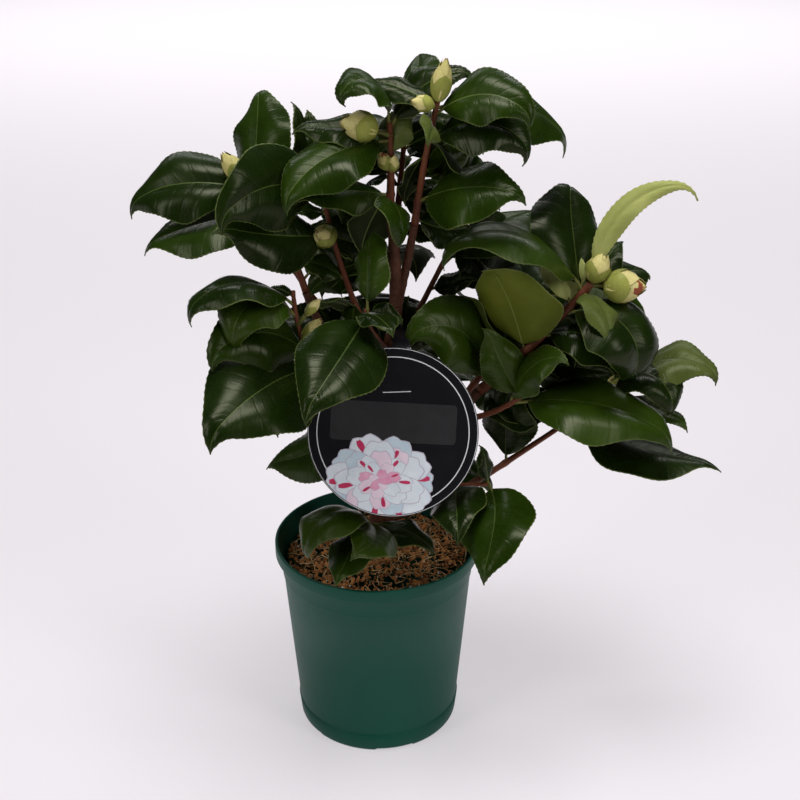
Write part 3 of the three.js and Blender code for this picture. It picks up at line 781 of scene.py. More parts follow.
# more leaves inside the crown, in the same order of values as a mass's own
innerLeaves = {
    "leaves_back_inner": [
        [0.12, 6, 46, 39, 40, 0, 30, 1],
        [0.55, 345, 27, 32, 20, 0, 40, 1],
        [0.85, 3, -47, 45, 20, 0, 40, 1.2],
        [0.04, 27, 82, 43, 10, 0, 60, 1.6],
    ],
    "leaves_right": [
        [0.62, 69, -39, 63, 50, 0, 20, 1.05],
        [0.86, 46, -36, 81, 50, 0, 10, 1.2],
        [0.3, 14, -9, 74, 10, 0, 50, 0.9],
        [0.72, 36, 7, 51, 40, 0, 20, 1],
    ],
    "leaves_crown": [
        [0.36, 144, -9, 25, 50, 0, -20, 0.9],
        [0.2, 142, -50, 50, 30, 0, 30, 1.2],
    ],
    "leaves_top": [
        [0.6, 123, -40, 45, 40, 0, -10, 0.95],
        [0.38, 46, 38, 25, 30, 0, 30, 0.95],
        [0.72, 49, -39, 60, 50, 0, 20, 0.95],
        [0.97, 157, 22, 45, 20, 0, -30, 0.75],
        [0.3, 81, 8, 18, 20, 0, 20, 0.9],
    ],
    "leaves_upper_left": [
        [0.48, 192, 39, 34, 40, 0, -35, 1],
        [0.6, 19, -11, 12, 50, 0, 10, 0.9],
        [0.95, 110, 62, 39, 5, 0, -10, 0.8],
        [0.78, 196, 17, 22, 20, 0, -30, 1],
        [0.36, 266, -15, 23, 40, 0, -20, 1],
        [0.32, 213, 40, 39, 60, 0, 30, 0.9],
    ],
    "leaves_back_middle": [
        [0.25, 171, -22, 39, 50, 0, -20, 0.9],
        [0.7, 193, 19, 26, 30, 0, -20, 0.9],
        [0.35, 33, -38, 23, 20, 0, -20, 1.5],
        [0.5, 13, 48, 25, 20, 0, 30, 1.5],
    ],
    "leaves_back_left": [
        [0.15, 169, 14, 29, 40, 0, -20, 1],
        [0.55, 17, 55, 20, 10, 0, 60, 0.9],
        [0.4, 175, 55, 32, 20, 0, -30, 1.5],
        [0.05, 145, 82, 56, 20, 0, -30, 1.5],
    ],
    "leaves_back_top": [
        [0.2, 144, -28, 20, 30, 0, -10, 0.8],
        [0.18, 13, -13, 30, 30, 0, 30, 0.9],
        [0.5, 160, 43, 13, 20, 0, -20, 0.7],
        [0.25, 49, -49, 12, 10, 0, 20, 1.3],
    ],
    "leaves_mid_left": [
        [0.97, 157, 21, 16, 20, 0, -40, 0.8],
    ],
    "leaves_centre": [
        [0.05, 178, 50, 17, 30, 0, -20, 0.9],
        [0.9, 10, -5, 23, 30, 0, 60, 1.3],
    ],
    "leaves_foot_right": [
        [1, 141, 82, 26, 15, 0, -10, 0.9],
    ],
    "leaves_inner_right": [
        [0.6, 30, -8, 41, 50, 0, 20, 1],
        [0.4, 24, 15, 58, 20, 0, 20, 1.3],
    ],
}


# the rule's outline, drawn out a little more towards the tip
def fineHalfWidthAt(s, length, wide):
    u = max(0, (s - leafRule["stalkShare"]) / (1 - leafRule["stalkShare"]))
    return max(halfWidthAt(s, length, wide) * (1 - leafDetail["taper"] * u ** 2), leafRule["tipHalfWidth"])


# where a column of the grid lies across the blade: margin and midrib keep widths of their own
def columnPlace(column, s, halfWidth):
    if abs(column) == 1:
        return column
    edgeShare = 1 - leafDetail["marginWidth"] / max(halfWidth, 1.2)
    midribShare = min(0.4, leafDetail["midribWidth"] * (1.1 - 0.8 * s) / max(halfWidth, 0.6))
    share = (abs(column) - midribColumn) / (marginColumn - midribColumn)
    return math.copysign(midribShare + (edgeShare - midribShare) * share, column)


def addLeaf(bm, twigBm, uvLayer, base, leaf, tone, rows, seed):
    detail = leafDetail
    length, wide = leaf[3], leaf[7]
    stalk = leafRule["stalkShare"]
    frames = leafFrames(base, leaf)
    fine = leafFramesBetween(frames, stalk, rows)
    last = len(columns) - 1
    grid = bmesh.ops.create_grid(bm, x_segments=rows, y_segments=last, size=0.5, calc_uvs=True)["verts"]
    waveTurn = 6.28 * ((seed * 0.618) % 1)
    asymmetry = detail["asymmetry"] * math.sin(seed * 2.4)
    crease = detail["crease"] * (0.5 + 0.5 * math.sin(seed * 1.9))
    for vert in grid:
        i = round((vert.co.x + 0.5) * rows)
        column = columns[round((vert.co.y + 0.5) * last)]
        s, point, normal, across = fine[i]
        halfWidth = fineHalfWidthAt(max(s, stalk + 1e-4), length, wide)
        v = columnPlace(column, s, halfWidth)
        width = halfWidth * (1 + math.copysign(asymmetry, asymmetry * v))
        tooth = 0
        if abs(column) == 1 and detail["toothed"][0] < s - stalk < detail["toothed"][1]:
            tooth = detail["toothDepth"] * (i % detail["toothRows"]) / (detail["toothRows"] - 1)
        place = bladePoint(fine[i], v, width, leafRule["fold"] + crease, leafRule["curl"] + crease * 0.8)
        sway = detail["wave"] * v * v * min(1, halfWidth / detail["fullWaveAt"])
        lag = detail["waveLag"] if v > 0 else 0
        place += normal * (sway * math.sin(waveTurn + detail["waves"] * s + lag))
        place += normal * (detail["buckle"] * v * v * smoothNoise(point, detail["buckleSize"], seed))
        if abs(column) == midribColumn:
            place -= normal * detail["midribSink"]
        vert.co = place + across * math.copysign(tooth, v)
    faces = facesOf(grid)
    if leaf[6] < detail["overturned"]:
        bmesh.ops.reverse_faces(bm, faces=list(faces))
    toneSlot = tones.index(tone)
    stripSlots = {0: marginSlot, last - 1: marginSlot, (last - 1) // 2: midribSlot} if tone != "lime" else {}
    for face in faces:
        strip = int(sum(loop[uvLayer].uv.y for loop in face.loops) / 4 * last)
        face.material_index = stripSlots.get(strip, toneSlot)
    # the stalk
    foot, way = frames[0][1], frames[1][1] - frames[0][1]
    centres = [foot + way * t for t in (-0.4, 0.2, 0.8)] + [frames[2][1], frames[3][1]]
    centres = [c - frames[2][2] * 0.5 for c in centres]
    growTube(twigBm, centres, tangentsOf(centres), detail["stalkRadii"], sides=6, material=1)


# frames at even steps from the blade's start to its tip, between the rule's own
def leafFramesBetween(frames, start, rows):
    fine = []
    last = len(frames) - 1
    for i in range(rows + 1):
        s = start + (1 - start) * i / rows
        k = min(int(s * last), last - 1)
        t = s * last - k
        _, p, n, a = frames[k]
        _, p2, n2, a2 = frames[k + 1]
        fine.append((s, p.lerp(p2, t), n.lerp(n2, t).normalized(), a.lerp(a2, t).normalized()))
    return fine


# buds

# dark and light colour, roughness
budLooks = {
    "budPale": ((0.42, 0.37, 0.10), (0.70, 0.62, 0.27), 0.4),
    "budGreen": ((0.17, 0.19, 0.030), (0.32, 0.33, 0.075), 0.4),
    "budRed": ((0.20, 0.035, 0.020), (0.30, 0.075, 0.035), 0.5),
    "budBrown": ((0.17, 0.09, 0.04), (0.30, 0.19, 0.09), 0.55),
}
budMaterials = [leafMaterial(name, *look) for name, look in budLooks.items()]
paleSlot, greenSlot, redSlot, brownSlot = range(len(budLooks))

# the buds that aren't plain pale, by mass and place in its list
budKinds = {
    ("leaves_right", 0): "red",
    ("leaves_right", 1): "red",
    ("leaves_crown", 1): "red",
    ("leaves_crown", 2): "red",
    ("leaves_upper_left", 0): "green",
}


fullTurn = 6.283
budDetail = {
    "coreWidth": 0.93,
    "coreLength": 0.97,
    "scales": 3,
    "layerTurn": 1.05,
    "seedTurn": 0.7,
    "spread": 1.25,
    "gape": 0.10,
    "edgeLift": 0.02,
    "unevenness": 0.25,
    "flushed": slice(-16, -4),
    "tipShare": 0.09,
    "stalkRadii": (1.6, 1.3, 1.5),
}


def budRadius(t, radius):
    return radius * max(0.0, math.sin(math.pi * min(1, 0.06 + 0.94 * t) ** 0.82)) ** 0.8 * (1 - 0.25 * t ** 3)


def addBud(bm, twigBm, base, bud, kind, seed):
    _, heading, rise, stalk, length, width = bud
    detail, radius = budDetail, width / 2
    axis = direction(math.radians(rise), math.radians(heading))
    turn = Vector((0, 0, 1)).rotation_difference(axis).to_matrix().to_4x4()
    place = Matrix.Translation(base) @ turn
    core = bmesh.ops.create_uvsphere(bm, u_segments=18, v_segments=14, radius=1)["verts"]
    for vert in core:
        t = (vert.co.z + 1) / 2
        flat = Vector((vert.co.x, vert.co.y, 0))
        if flat.length > 1e-6:
            flat = flat.normalized() * budRadius(t, radius * detail["coreWidth"])
        vert.co = place @ Vector((flat.x, flat.y, stalk + length * t * detail["coreLength"]))
    paint(facesOf(core), paleSlot)
    # layers of scales: low and high end, lift off the core, material
    layers = [
        (0.0, 0.62, 1.05, greenSlot),
        (0.05, 0.8, 1.02, greenSlot if kind == "green" else paleSlot),
        (0.2, 0.97, 0.985, paleSlot),
    ]
    for number, (low, high, lift, slot) in enumerate(layers):
        for k in range(detail["scales"]):
            middle = fullTurn * k / detail["scales"] + number * detail["layerTurn"] + seed * detail["seedTurn"]
            scale = bmesh.ops.create_grid(bm, x_segments=8, y_segments=6, size=1)["verts"]
            for vert in scale:
                up, side = (vert.co.x + 1) / 2, vert.co.y
                t = low + (high - low) * up
                angle = middle + side * detail["spread"] * (1 - up ** 2.6) ** 0.7
                r = budRadius(t, radius) * lift + detail["gape"] * radius * up ** 3
                r += detail["edgeLift"] * radius * abs(side)
                r += detail["unevenness"] * smoothNoise((angle * 3, t * 4, seed), 1.0)
                vert.co = place @ Vector((r * math.cos(angle), r * math.sin(angle), stalk + length * t))
            paint(facesOf(scale), slot)
            if kind == "red" and number == 2 and k == seed % detail["scales"]:
                tipward = sorted(facesOf(scale), key=lambda f: (f.calc_center_median() - base).dot(axis))
                paint(tipward[detail["flushed"]], redSlot)
    tip = place @ Vector((0, 0, stalk + length))
    reach = detail["tipShare"] * length
    paint([face for face in facesOf(core) if (face.calc_center_median() - tip).length < reach], brownSlot)
    if stalk > 0.5:
        centres = [base - axis, base + axis * stalk * 0.5, base + axis * (stalk + 0.6)]
        growTube(twigBm, centres, [axis] * 3, detail["stalkRadii"], sides=8, material=1)


# twigs

twigDetail = {
    "rings": 26, "sides": 9, "sunk": -0.02, "swelling": 0.22, "swellingLength": 0.018,
    "relief": 0.12, "reliefSize": 1.6,
}


def addTwig(bm, mass, seed):
    detail = twigDetail
    curve = limbCurve(mass)
    low = detail["sunk"] if "on" in mass else 0
    ts = [low + (1 - low) * k / detail["rings"] for k in range(detail["rings"] + 1)]
    centres = [bezierPoint(curve, t) for t in ts]
    tangents = [bezierTangent(curve, max(0, t)) for t in ts]
    leafPlaces = {leaf[0] for leaf in mass["leaves"]}
    radii = []
    for t in ts:
        radius = mass["radii"][0] + (mass["radii"][1] - mass["radii"][0]) * t
        swelling = sum(math.exp(-((t - place) / detail["swellingLength"]) ** 2) for place in leafPlaces)
        radii.append(radius * (1 + detail["swelling"] * swelling))
    for vert in growTube(bm, centres, tangents, radii, detail["sides"]):
        outward = (vert.co - nearestOn(centres, vert.co)).normalized()
        vert.co += outward * detail["relief"] * smoothNoise(vert.co, detail["reliefSize"], seed)


def nearestOn(centres, point):
    return min(centres, key=lambda c: (c - point).length_squared)


# the scene's pieces of foliage, with the masses that each takes
foliage = {
    "leavesFront": [
        "leaves_left", "leaves_upper_left", "leaves_crown", "leaves_top", "leaves_mid_left", "leaves_centre",
    ],
    "leavesRight": [
        "leaves_right", "leaves_low_right", "leaves_inner_right", "leaves_foot", "leaves_foot_right",
    ],
    "leavesInner": [name for name in masses if name.startswith("leaves_back")],
}


def growMasses():
    twigBm, budBm = bmesh.new(), bmesh.new()
    seed = 0
    for piece, names in foliage.items():
        bm = bmesh.new()
        uvLayer = bm.loops.layers.uv.new("leafUv")
        for name in names:
            mass = masses[name]
            curve = limbCurve(mass)
            addTwig(twigBm, mass, len(name))
            far = name in fillShoots
            rows = leafDetail["farRows" if far else "rows"]
            grown = []
            for number, leaf in enumerate(mass["leaves"]):
                usual = ("deep", "green", "green")[(seed + number + 1) % 3]
                grown.append((leaf, leafTones.get(name, {}).get(number, usual), rows))
            for leaf in innerLeaves.get(name, []):
                # inner leaves heading right or back, and all inner leaves on the far shoots, take the darkest
                # tone as painted shade inside the crown; the rest take the green tone
                tone = "green" if leaf[1] > 180 and not far else "deep"
                grown.append((leaf, tone, leafDetail["farRows"]))
            for leaf, tone, leafRows in grown:
                seed += 1
                addLeaf(bm, twigBm, uvLayer, bezierPoint(curve, leaf[0]), leaf, tone, leafRows, seed)
            for number, bud in enumerate(mass["buds"]):
                seed += 1
                kind = budKinds.get((name, number), "pale")
                addBud(budBm, twigBm, bezierPoint(curve, bud[0]), bud, kind, seed)
        leaves = finishPiece(bm, piece, leafMaterials, names)
        thick = leaves.modifiers.new("thickness", "SOLIDIFY")
        thick.thickness = leafDetail["thickness"] * millimetre
        thick.offset = -1
        thick.material_offset = underOffset
    finishPiece(twigBm, "twigs", [twigMaterial, stalkMaterial])
    finishPiece(budBm, "buds", budMaterials)


# bark


# dark and light colour; streak is the strength of the fibres
def barkMaterial(name, dark, light, roughness, streak):
    material, nodes, links, shader = driftMaterial(name, dark, light, 90.0, 0.45, roughness, 0.2)
    stretch = addNode(nodes, "ShaderNodeMapping", {"Scale": (1.0, 1.0, 0.2)})
    fibres = addNode(nodes, "ShaderNodeTexNoise", {"Scale": 1400.0, "Detail": 3.0})
    coords = nodes.new("ShaderNodeTexCoord")
    wire(links, (coords, "Object", stretch, "Vector"), (stretch, "Vector", fibres, "Vector"))
    addBump(nodes, links, shader, fibres, "Fac", streak, 0.0004)
    return material


twigMaterial = barkMaterial("youngBark", (0.090, 0.022, 0.009), (0.185, 0.058, 0.025), 0.5, 0.4)
stalkMaterial = barkMaterial("leafStalk", (0.110, 0.110, 0.025), (0.170, 0.170, 0.045), 0.45, 0.2)
barkOld = barkMaterial("oldBark", (0.050, 0.015, 0.007), (0.130, 0.050, 0.026), 0.6, 0.6)

barkDetail = {
    "relief": 0.28, "coarse": 1.5, "fine": 0.6, "ripple": 7, "stretch": 0.35, "rings": 90, "sides": 28,
}


def addLimb(bm, limb, seed, rings):
    detail = barkDetail
    curve = limbCurve(limb)
    length = sum((bezierPoint(curve, (k + 1) / 20) - bezierPoint(curve, k / 20)).length for k in range(20))
    centres, tangents, radii = [], [], []
    for k in range(rings + 1):
        t = k / rings
        flare = limb.get("flare", 0) * math.exp(-t * length / limb.get("flareLength", 1))
        centres.append(bezierPoint(curve, t))
        tangents.append(Vector((0, 0, 1)) if k == 0 and "foot" in limb else bezierTangent(curve, t))
        radii.append(limb["radii"][0] + (limb["radii"][1] - limb["radii"][0]) * t + flare)
    for vert in growTube(bm, centres, tangents, radii, detail["sides"]):
        outward = (vert.co - nearestOn(centres, vert.co)).normalized()
        stretched = Vector((vert.co.x, vert.co.y, vert.co.z * detail["stretch"]))
        relief = smoothNoise(stretched, detail["coarse"], seed)
        relief += 0.5 * smoothNoise(stretched, detail["fine"], seed + 3)
        ripple = 0.5 * smoothNoise(vert.co, detail["ripple"], seed)
        vert.co += outward * detail["relief"] * (relief + ripple)


def growLimbs():
    bm = bmesh.new()
    for number, (name, limb) in enumerate(limbs.items()):
        addLimb(bm, limb, number, barkDetail["rings"] * (2 if name == "trunk" else 1))
    finishPiece(bm, "trunkAndBoughs", [barkOld], list(limbs))


# the pot

pot = {
    "height": 130.6,
    "rimRadius": 65,
    "baseRadius": 52,
    "wall": 1.8,
    "floor": 2.6,
    "lipHeight": 8.6,
    "lipOverhang": 3.2,
    "ringHeight": 108,
    "ringStep": 0.5,
    "footHeight": 13.5,
    "footStep": 0.6,
    "edgeRadius": 3,
    "rimRound": 0.9,
    "waist": 60,
    "steps": 200,
    "notchWidth": 24,
    "notchHeight": 2.4,
    "notchDepth": 9,
    "notchTurns": (-72, 0, 72, 144, 216),
    "notchShift": 12,
    "dark": (0.003, 0.060, 0.038),
    "light": (0.005, 0.073, 0.048),
    "roughness": (0.40, 0.52),
    "specular": 0.16,
    "grainScale": 1700.0,
    "grainRelief": 0.16,
}
soilTop = 119


def bodyRadiusAt(z):
    lipFoot = pot["height"] - pot["lipHeight"]
    return pot["baseRadius"] + (pot["rimRadius"] - pot["lipOverhang"] - pot["baseRadius"]) * z / lipFoot


def quarterArc(x, z, radius, start, count):
    angles = [start + math.pi / 2 * k / count for k in range(count + 1)]
    return [(x + radius * math.cos(a), z + radius * math.sin(a)) for a in angles]


# half of the pot's section, as radius and height: up the outside, over the rim and down the inside
def potProfile():
    height, wall, edge, rim = pot["height"], pot["wall"], pot["edgeRadius"], pot["rimRadius"]
    foot, step, waist = pot["footHeight"], pot["footStep"], pot["waist"]
    ring, ringStep = pot["ringHeight"], pot["ringStep"]
    base, rimRound = pot["baseRadius"], pot["rimRound"]
    lipFoot = height - pot["lipHeight"]
    footRadius, ringRadius, lipRadius = bodyRadiusAt(foot), bodyRadiusAt(ring), bodyRadiusAt(lipFoot)
    return [
        (0, 0), (base - pot["notchDepth"], 0), *quarterArc(base - edge, edge, edge, -math.pi / 2, 6),
        (footRadius, foot), (footRadius - step * 0.7, foot + 0.25), (footRadius - step, foot + 0.9),
        (bodyRadiusAt(waist) - step, waist),
        (ringRadius - step, ring), (ringRadius - step + ringStep * 0.8, ring + 0.3), (ringRadius, ring + 1.2),
        (lipRadius - 0.3, lipFoot - 0.6), (lipRadius + 0.3, lipFoot),
        (rim - 1.0, lipFoot), (rim - 0.3, lipFoot + 0.25), (rim, lipFoot + 0.9), (rim, height - 3.2),
        *quarterArc(rim - rimRound, height - rimRound, rimRound, 0, 5),
        (rim - wall + 0.3, height), (rim - wall, height - 0.35),
        (rim - wall - 0.5, height - 1.8), (lipRadius - wall, lipFoot - 1.5),
        (bodyRadiusAt(soilTop) - wall, soilTop - 6), (bodyRadiusAt(waist) - wall, waist),
        (base - wall, pot["floor"] + edge), (base - wall - edge, pot["floor"]), (0, pot["floor"]),
    ]


def makePot():
    bm = bmesh.new()
    verts = [bm.verts.new((x, 0, z)) for x, z in potProfile()]
    edges = [bm.edges.new(pair) for pair in zip(verts, verts[1:])]
    bmesh.ops.spin(
        bm, geom=verts + edges, axis=(0, 0, 1), cent=(0, 0, 0), angle=2 * math.pi, steps=pot["steps"],
        use_merge=True)
    bmesh.ops.remove_doubles(bm, verts=bm.verts, dist=0.001)
    bmesh.ops.recalc_face_normals(bm, faces=bm.faces)
    notchInside = -(pot["baseRadius"] - pot["notchDepth"]) + 0.1
    for vert in bm.verts:
        for turn in pot["notchTurns"]:
            across = Matrix.Rotation(-math.radians(turn + pot["notchShift"]), 3, "Z") @ vert.co
            inNotch = abs(across.x) < pot["notchWidth"] / 2 and across.y < notchInside
            if inNotch and vert.co.z < pot["notchHeight"]:
                vert.co.z = pot["notchHeight"]
    material, nodes, links, shader = driftMaterial(
        "potPlastic", pot["dark"], pot["light"], 14.0, 0.15, pot["roughness"], pot["specular"])
    grain = objectNoise(nodes, links, Scale=pot["grainScale"], Detail=2.0)
    addBump(nodes, links, shader, grain, "Fac", pot["grainRelief"], 0.0003)
    finishPiece(bm, "potBody", [material], ["pot"])


# compost

soilDetail = {
    "seed": 7,
    "gap": 0.5,
    "bottom": 112,
    "rings": (0.97, 0.9, 0.8, 0.7, 0.6, 0.5, 0.4, 0.3, 0.2, 0.1),
    "rimKeptFree": 1.6,
    "crumbs": 2200,
    "crumbsInPatch": 100,
    "fibres": 800,
    "fibresInPatch": 60,
    "grains": 90,
}
# dark and light colour
soilLooks = {
    "compostDark": ((0.200, 0.080, 0.026), (0.360, 0.150, 0.050)),
    "crumbDark": ((0.200, 0.078, 0.025), (0.360, 0.150, 0.050)),
    "crumbBrown": ((0.340, 0.145, 0.048), (0.520, 0.240, 0.088)),
    "crumbRust": ((0.480, 0.185, 0.055), (0.660, 0.300, 0.110)),
    "fibreTan": ((0.660, 0.400, 0.180), (0.840, 0.600, 0.320)),
    "fibreBrown": ((0.480, 0.220, 0.085), (0.640, 0.340, 0.150)),
    "whiteGrain": ((0.620, 0.600, 0.560), (0.780, 0.760, 0.720)),
}
crumbSlot, tanSlot, brownFibreSlot, grainSlot = 1, 4, 5, 6


def makeSoil():
    random = seededNumbers(soilDetail["seed"])
    edge = bodyRadiusAt(soilTop) - pot["wall"] - soilDetail["gap"]

    def heightAt(x, y):
        r = min(1, math.hypot(x, y) / edge)
        bumpy = 1.5 * smoothNoise((x, y, 0), 15) + 0.9 * smoothNoise((x, y, 0), 6, 2)
        return soilTop + 2 * (1 - r) - 1.2 * r - 1.2 + bumpy * (1 - r ** 8) * 0.8

    bm = bmesh.new()
    bmesh.ops.create_circle(bm, cap_ends=True, segments=96, radius=edge)
    for share in soilDetail["rings"]:
        middle = [face for face in bm.faces if len(face.verts) > 4]
        bmesh.ops.inset_region(bm, faces=middle, thickness=0.001, use_even_offset=False)
        for vert in [face for face in bm.faces if len(face.verts) > 4][0].verts:
            vert.co = Vector((vert.co.x, vert.co.y, 0)).normalized() * edge * share
    bmesh.ops.triangulate(bm, faces=[face for face in bm.faces if len(face.verts) > 4])
    bmesh.ops.subdivide_edges(bm, edges=bm.edges, cuts=1, use_grid_fill=True)
    for vert in bm.verts:
        vert.co.z = heightAt(vert.co.x, vert.co.y) + 0.35 * smoothNoise(vert.co, 1.7, 5)
    rim = bmesh.ops.extrude_edge_only(bm, edges=[e for e in bm.edges if e.is_boundary])["geom"]
    for vert in vertsIn(rim):
        vert.co.z = soilDetail["bottom"]
    bmesh.ops.edgeloop_fill(bm, edges=[e for e in bm.edges if e.is_boundary])
    bmesh.ops.recalc_face_normals(bm, faces=bm.faces)

    def onSoil():
        angle, r = fullTurn * next(random), (edge - soilDetail["rimKeptFree"]) * math.sqrt(next(random))
        x, y = r * math.cos(angle), r * math.sin(angle)
        return Vector((x, y, heightAt(x, y)))

    def turnedAtRandom():
        axis = (next(random) - 0.5, next(random) - 0.5, next(random) - 0.5)
        return Quaternion(axis, fullTurn * next(random)).to_matrix().to_4x4()

    def addLump(bm, lift, stretch):
        place = Matrix.Translation(onSoil() + Vector((0, 0, lift))) @ turnedAtRandom()
        place = place @ Matrix.Diagonal((*stretch, 1))
        return bmesh.ops.create_icosphere(bm, subdivisions=1, radius=1, matrix=place)["verts"]

    # small meshes are quicker to add to than one large one
    patches = [bm]
    for number in range(soilDetail["crumbs"]):
        if number % soilDetail["crumbsInPatch"] == 0:
            patches.append(bmesh.new())
        size = 0.4 + 1.5 * next(random) ** 2.6
        stretch = (size * (0.6 + next(random)), size * (0.5 + 0.6 * next(random)), size * 0.8)
        crumb = addLump(patches[-1], 0.25 * size, stretch)
        slot = crumbSlot + int(3 * next(random))
        for vert in crumb:
            vert.co += Vector((1, 1, 1)) * 0.25 * size * smoothNoise(vert.co, 1.1, 9)
        paint(facesOf(crumb), slot)
    for number in range(soilDetail["fibres"]):
        if number % soilDetail["fibresInPatch"] == 0:
            patches.append(bmesh.new())
        point = onSoil() + Vector((0, 0, 0.3))
        heading, length = fullTurn * next(random), 4 + 9 * next(random)
        bend, tilt = 1.8 * (next(random) - 0.5), 0.5 * (next(random) - 0.3)
        centres = []
        for k in range(5):
            centres.append(point.copy())
            turn = heading + bend * k / 4
            point = point + Vector((math.cos(turn), math.sin(turn), tilt * (1 - k / 2))) * (length / 4)
            if math.hypot(point.x, point.y) > edge - 1.2:
                break
            point.z = max(point.z, heightAt(point.x, point.y) + 0.1)
        if len(centres) < 3:
            continue
        thick = 0.12 + 0.22 * next(random)
        radii = [thick] * (len(centres) - 1) + [thick * 0.4]
        slot = tanSlot if next(random) < 0.6 else brownFibreSlot
        growTube(patches[-1], centres, tangentsOf(centres), radii, sides=4, material=slot)
    for _ in range(soilDetail["grains"]):
        size = 0.35 + 0.75 * next(random) ** 2
        paint(facesOf(addLump(patches[-1], 0.5 * size, (size, size * 0.8, size * 0.7))), grainSlot)
    materials = [barkMaterial(name, dark, light, 0.9, 0.9) for name, (dark, light) in soilLooks.items()]
    joined = bmesh.new()
    for patch in patches:
        patchMesh = bpy.data.meshes.new("patch")
        patch.to_mesh(patchMesh)
        patch.free()
        joined.from_mesh(patchMesh)
        bpy.data.meshes.remove(patchMesh)
    finishPiece(joined, "compost", materials, ["root_ball"], smooth=False)


# the hang label

label = {
    "radius": 49,
    "thickness": 1,
    "centre": (10.6, -50, 229),
    "leanBack": 18,
    "turn": 3,
    "strapWidth": 10,
    "strapOffset": 4,
    "strapRise": 8,
    "loopAt": 0.93,
    "loopHeight": 8,
    "loopThickness": 1,
    "ringInset": 5.2,
    "ringWidth": 0.6,
    "panel": (72, 23, 2.5),
    "panelHeight": 6,
    "flowerRadius": 30,
    "flowerPlace": (-6, -28),
    "flowerSquash": 0.88,
    "printLift": 0.12,
    "printStep": 0.006,
    "edgeRound": 0.22,
    "rimLine": 0.3,
    "rimLineInset": 0.75,
    "ruleCorners": [(-7, 22.6), (9, 24.0), (9, 24.5), (-7, 23.1)],
    "petalShade": 1.06,
    "flowerEdge": 1.2,
}

# dark and light colour, roughness
inks = {
    "inkSilver": ((0.62, 0.62, 0.63), (0.72, 0.72, 0.73), 0.3),
    "inkGrey": ((0.022, 0.022, 0.023), (0.028, 0.028, 0.029), 0.24),
    "petalWhite": ((0.62, 0.68, 0.74), (0.74, 0.78, 0.82), 0.3),
    "petalPink": ((0.72, 0.56, 0.66), (0.80, 0.68, 0.76), 0.3),
    "petalBlue": ((0.46, 0.58, 0.66), (0.58, 0.68, 0.74), 0.3),
    "fleckCrimson": ((0.42, 0.015, 0.075), (0.58, 0.045, 0.130), 0.3),
    "petalRose": ((0.66, 0.24, 0.38), (0.76, 0.42, 0.54), 0.3),
    "petalShade": ((0.46, 0.42, 0.50), (0.56, 0.52, 0.60), 0.3),
}
silver, grey, white, pink, blue, crimson, rose, shade = range(len(inks))

# rings of petals: how far out, how many, size and inks in turn
petalRings = [
    {"reach": 0.66, "count": 10, "size": (0.34, 0.30), "inks": (blue, white, blue, white)},
    {"reach": 0.50, "count": 9, "size": (0.32, 0.25), "inks": (white, pink, white, blue)},
    {"reach": 0.35, "count": 8, "size": (0.27, 0.19), "inks": (white, pink, white, white)},
    {"reach": 0.22, "count": 7, "size": (0.20, 0.13), "inks": (pink, white, rose, pink)},
    {"reach": 0.09, "count": 5, "size": (0.14, 0.08), "inks": (rose, pink, rose, pink)},
]


def printMaterial(name, dark, light, roughness):
    return driftMaterial(name, dark, light, 120.0, 0.3, roughness)[0]


def turned(degrees, axis):
    return Matrix.Rotation(math.radians(degrees), 4, axis)


labelPlace = (
    Matrix.Translation(Vector(label["centre"])) @ turned(-label["leanBack"], "X") @ turned(label["turn"], "Y"))
cardPlace = labelPlace @ turned(90, "X")  # local x right, y up, z to the front


# the loop round the trunk and the strap that joins it to the card
def addHanger(bm):
    loopCentre = bezierPoint(limbCurve(limbs["trunk"]), label["loopAt"])
    inner = limbs["trunk"]["radii"][1] + 0.8
    outer = inner + label["loopThickness"]
    tall = label["loopHeight"] / 2
    profile = [(inner, -tall), (outer, -tall), (outer, tall), (inner, tall)]
    corners = [bm.verts.new((loopCentre.x + x, loopCentre.y, loopCentre.z + z)) for x, z in profile]
    edges = [bm.edges.new((corners[k], corners[(k + 1) % 4])) for k in range(4)]
    bmesh.ops.spin(
        bm, geom=corners + edges, axis=(0, 0, 1), cent=loopCentre, angle=2 * math.pi, steps=48, use_merge=True)

    start = labelPlace @ Vector((label["strapOffset"], 0, label["radius"] - 6))
    end = loopCentre + Vector((1, -inner - 0.5, 0))
    curve = (start, (start + end) / 2 + Vector((0, 0, label["strapRise"])), end)
    frames = []
    for k in range(17):
        t = k / 16
        along = bezierTangent(curve, t)
        side = Vector((1, 0, 0))
        up = side.cross(along).normalized()
        width = label["strapWidth"] * (1 if t < 0.8 else 1 - 2 * (t - 0.8))
        turn = Matrix((side, along, up)).transposed().to_4x4()
        size = Matrix.Diagonal((width, 1, label["thickness"], 1))
        frames.append(Matrix.Translation(bezierPoint(curve, t)) @ turn @ size)
    strap = bmesh.ops.create_cube(bm, size=1)["verts"]
    front = max(facesOf(strap), key=lambda f: f.calc_center_median().y)
    for vert in strap:
        vert.co.y = 0 if vert.co.y < 0 else 0.001
    bmesh.ops.transform(bm, matrix=frames[0], verts=strap)
    for before, after in zip(frames, frames[1:]):
        front = bmesh.ops.extrude_discrete_faces(bm, faces=[front])["faces"][0]
        bmesh.ops.transform(bm, matrix=after @ before.inverted(), verts=list(front.verts))


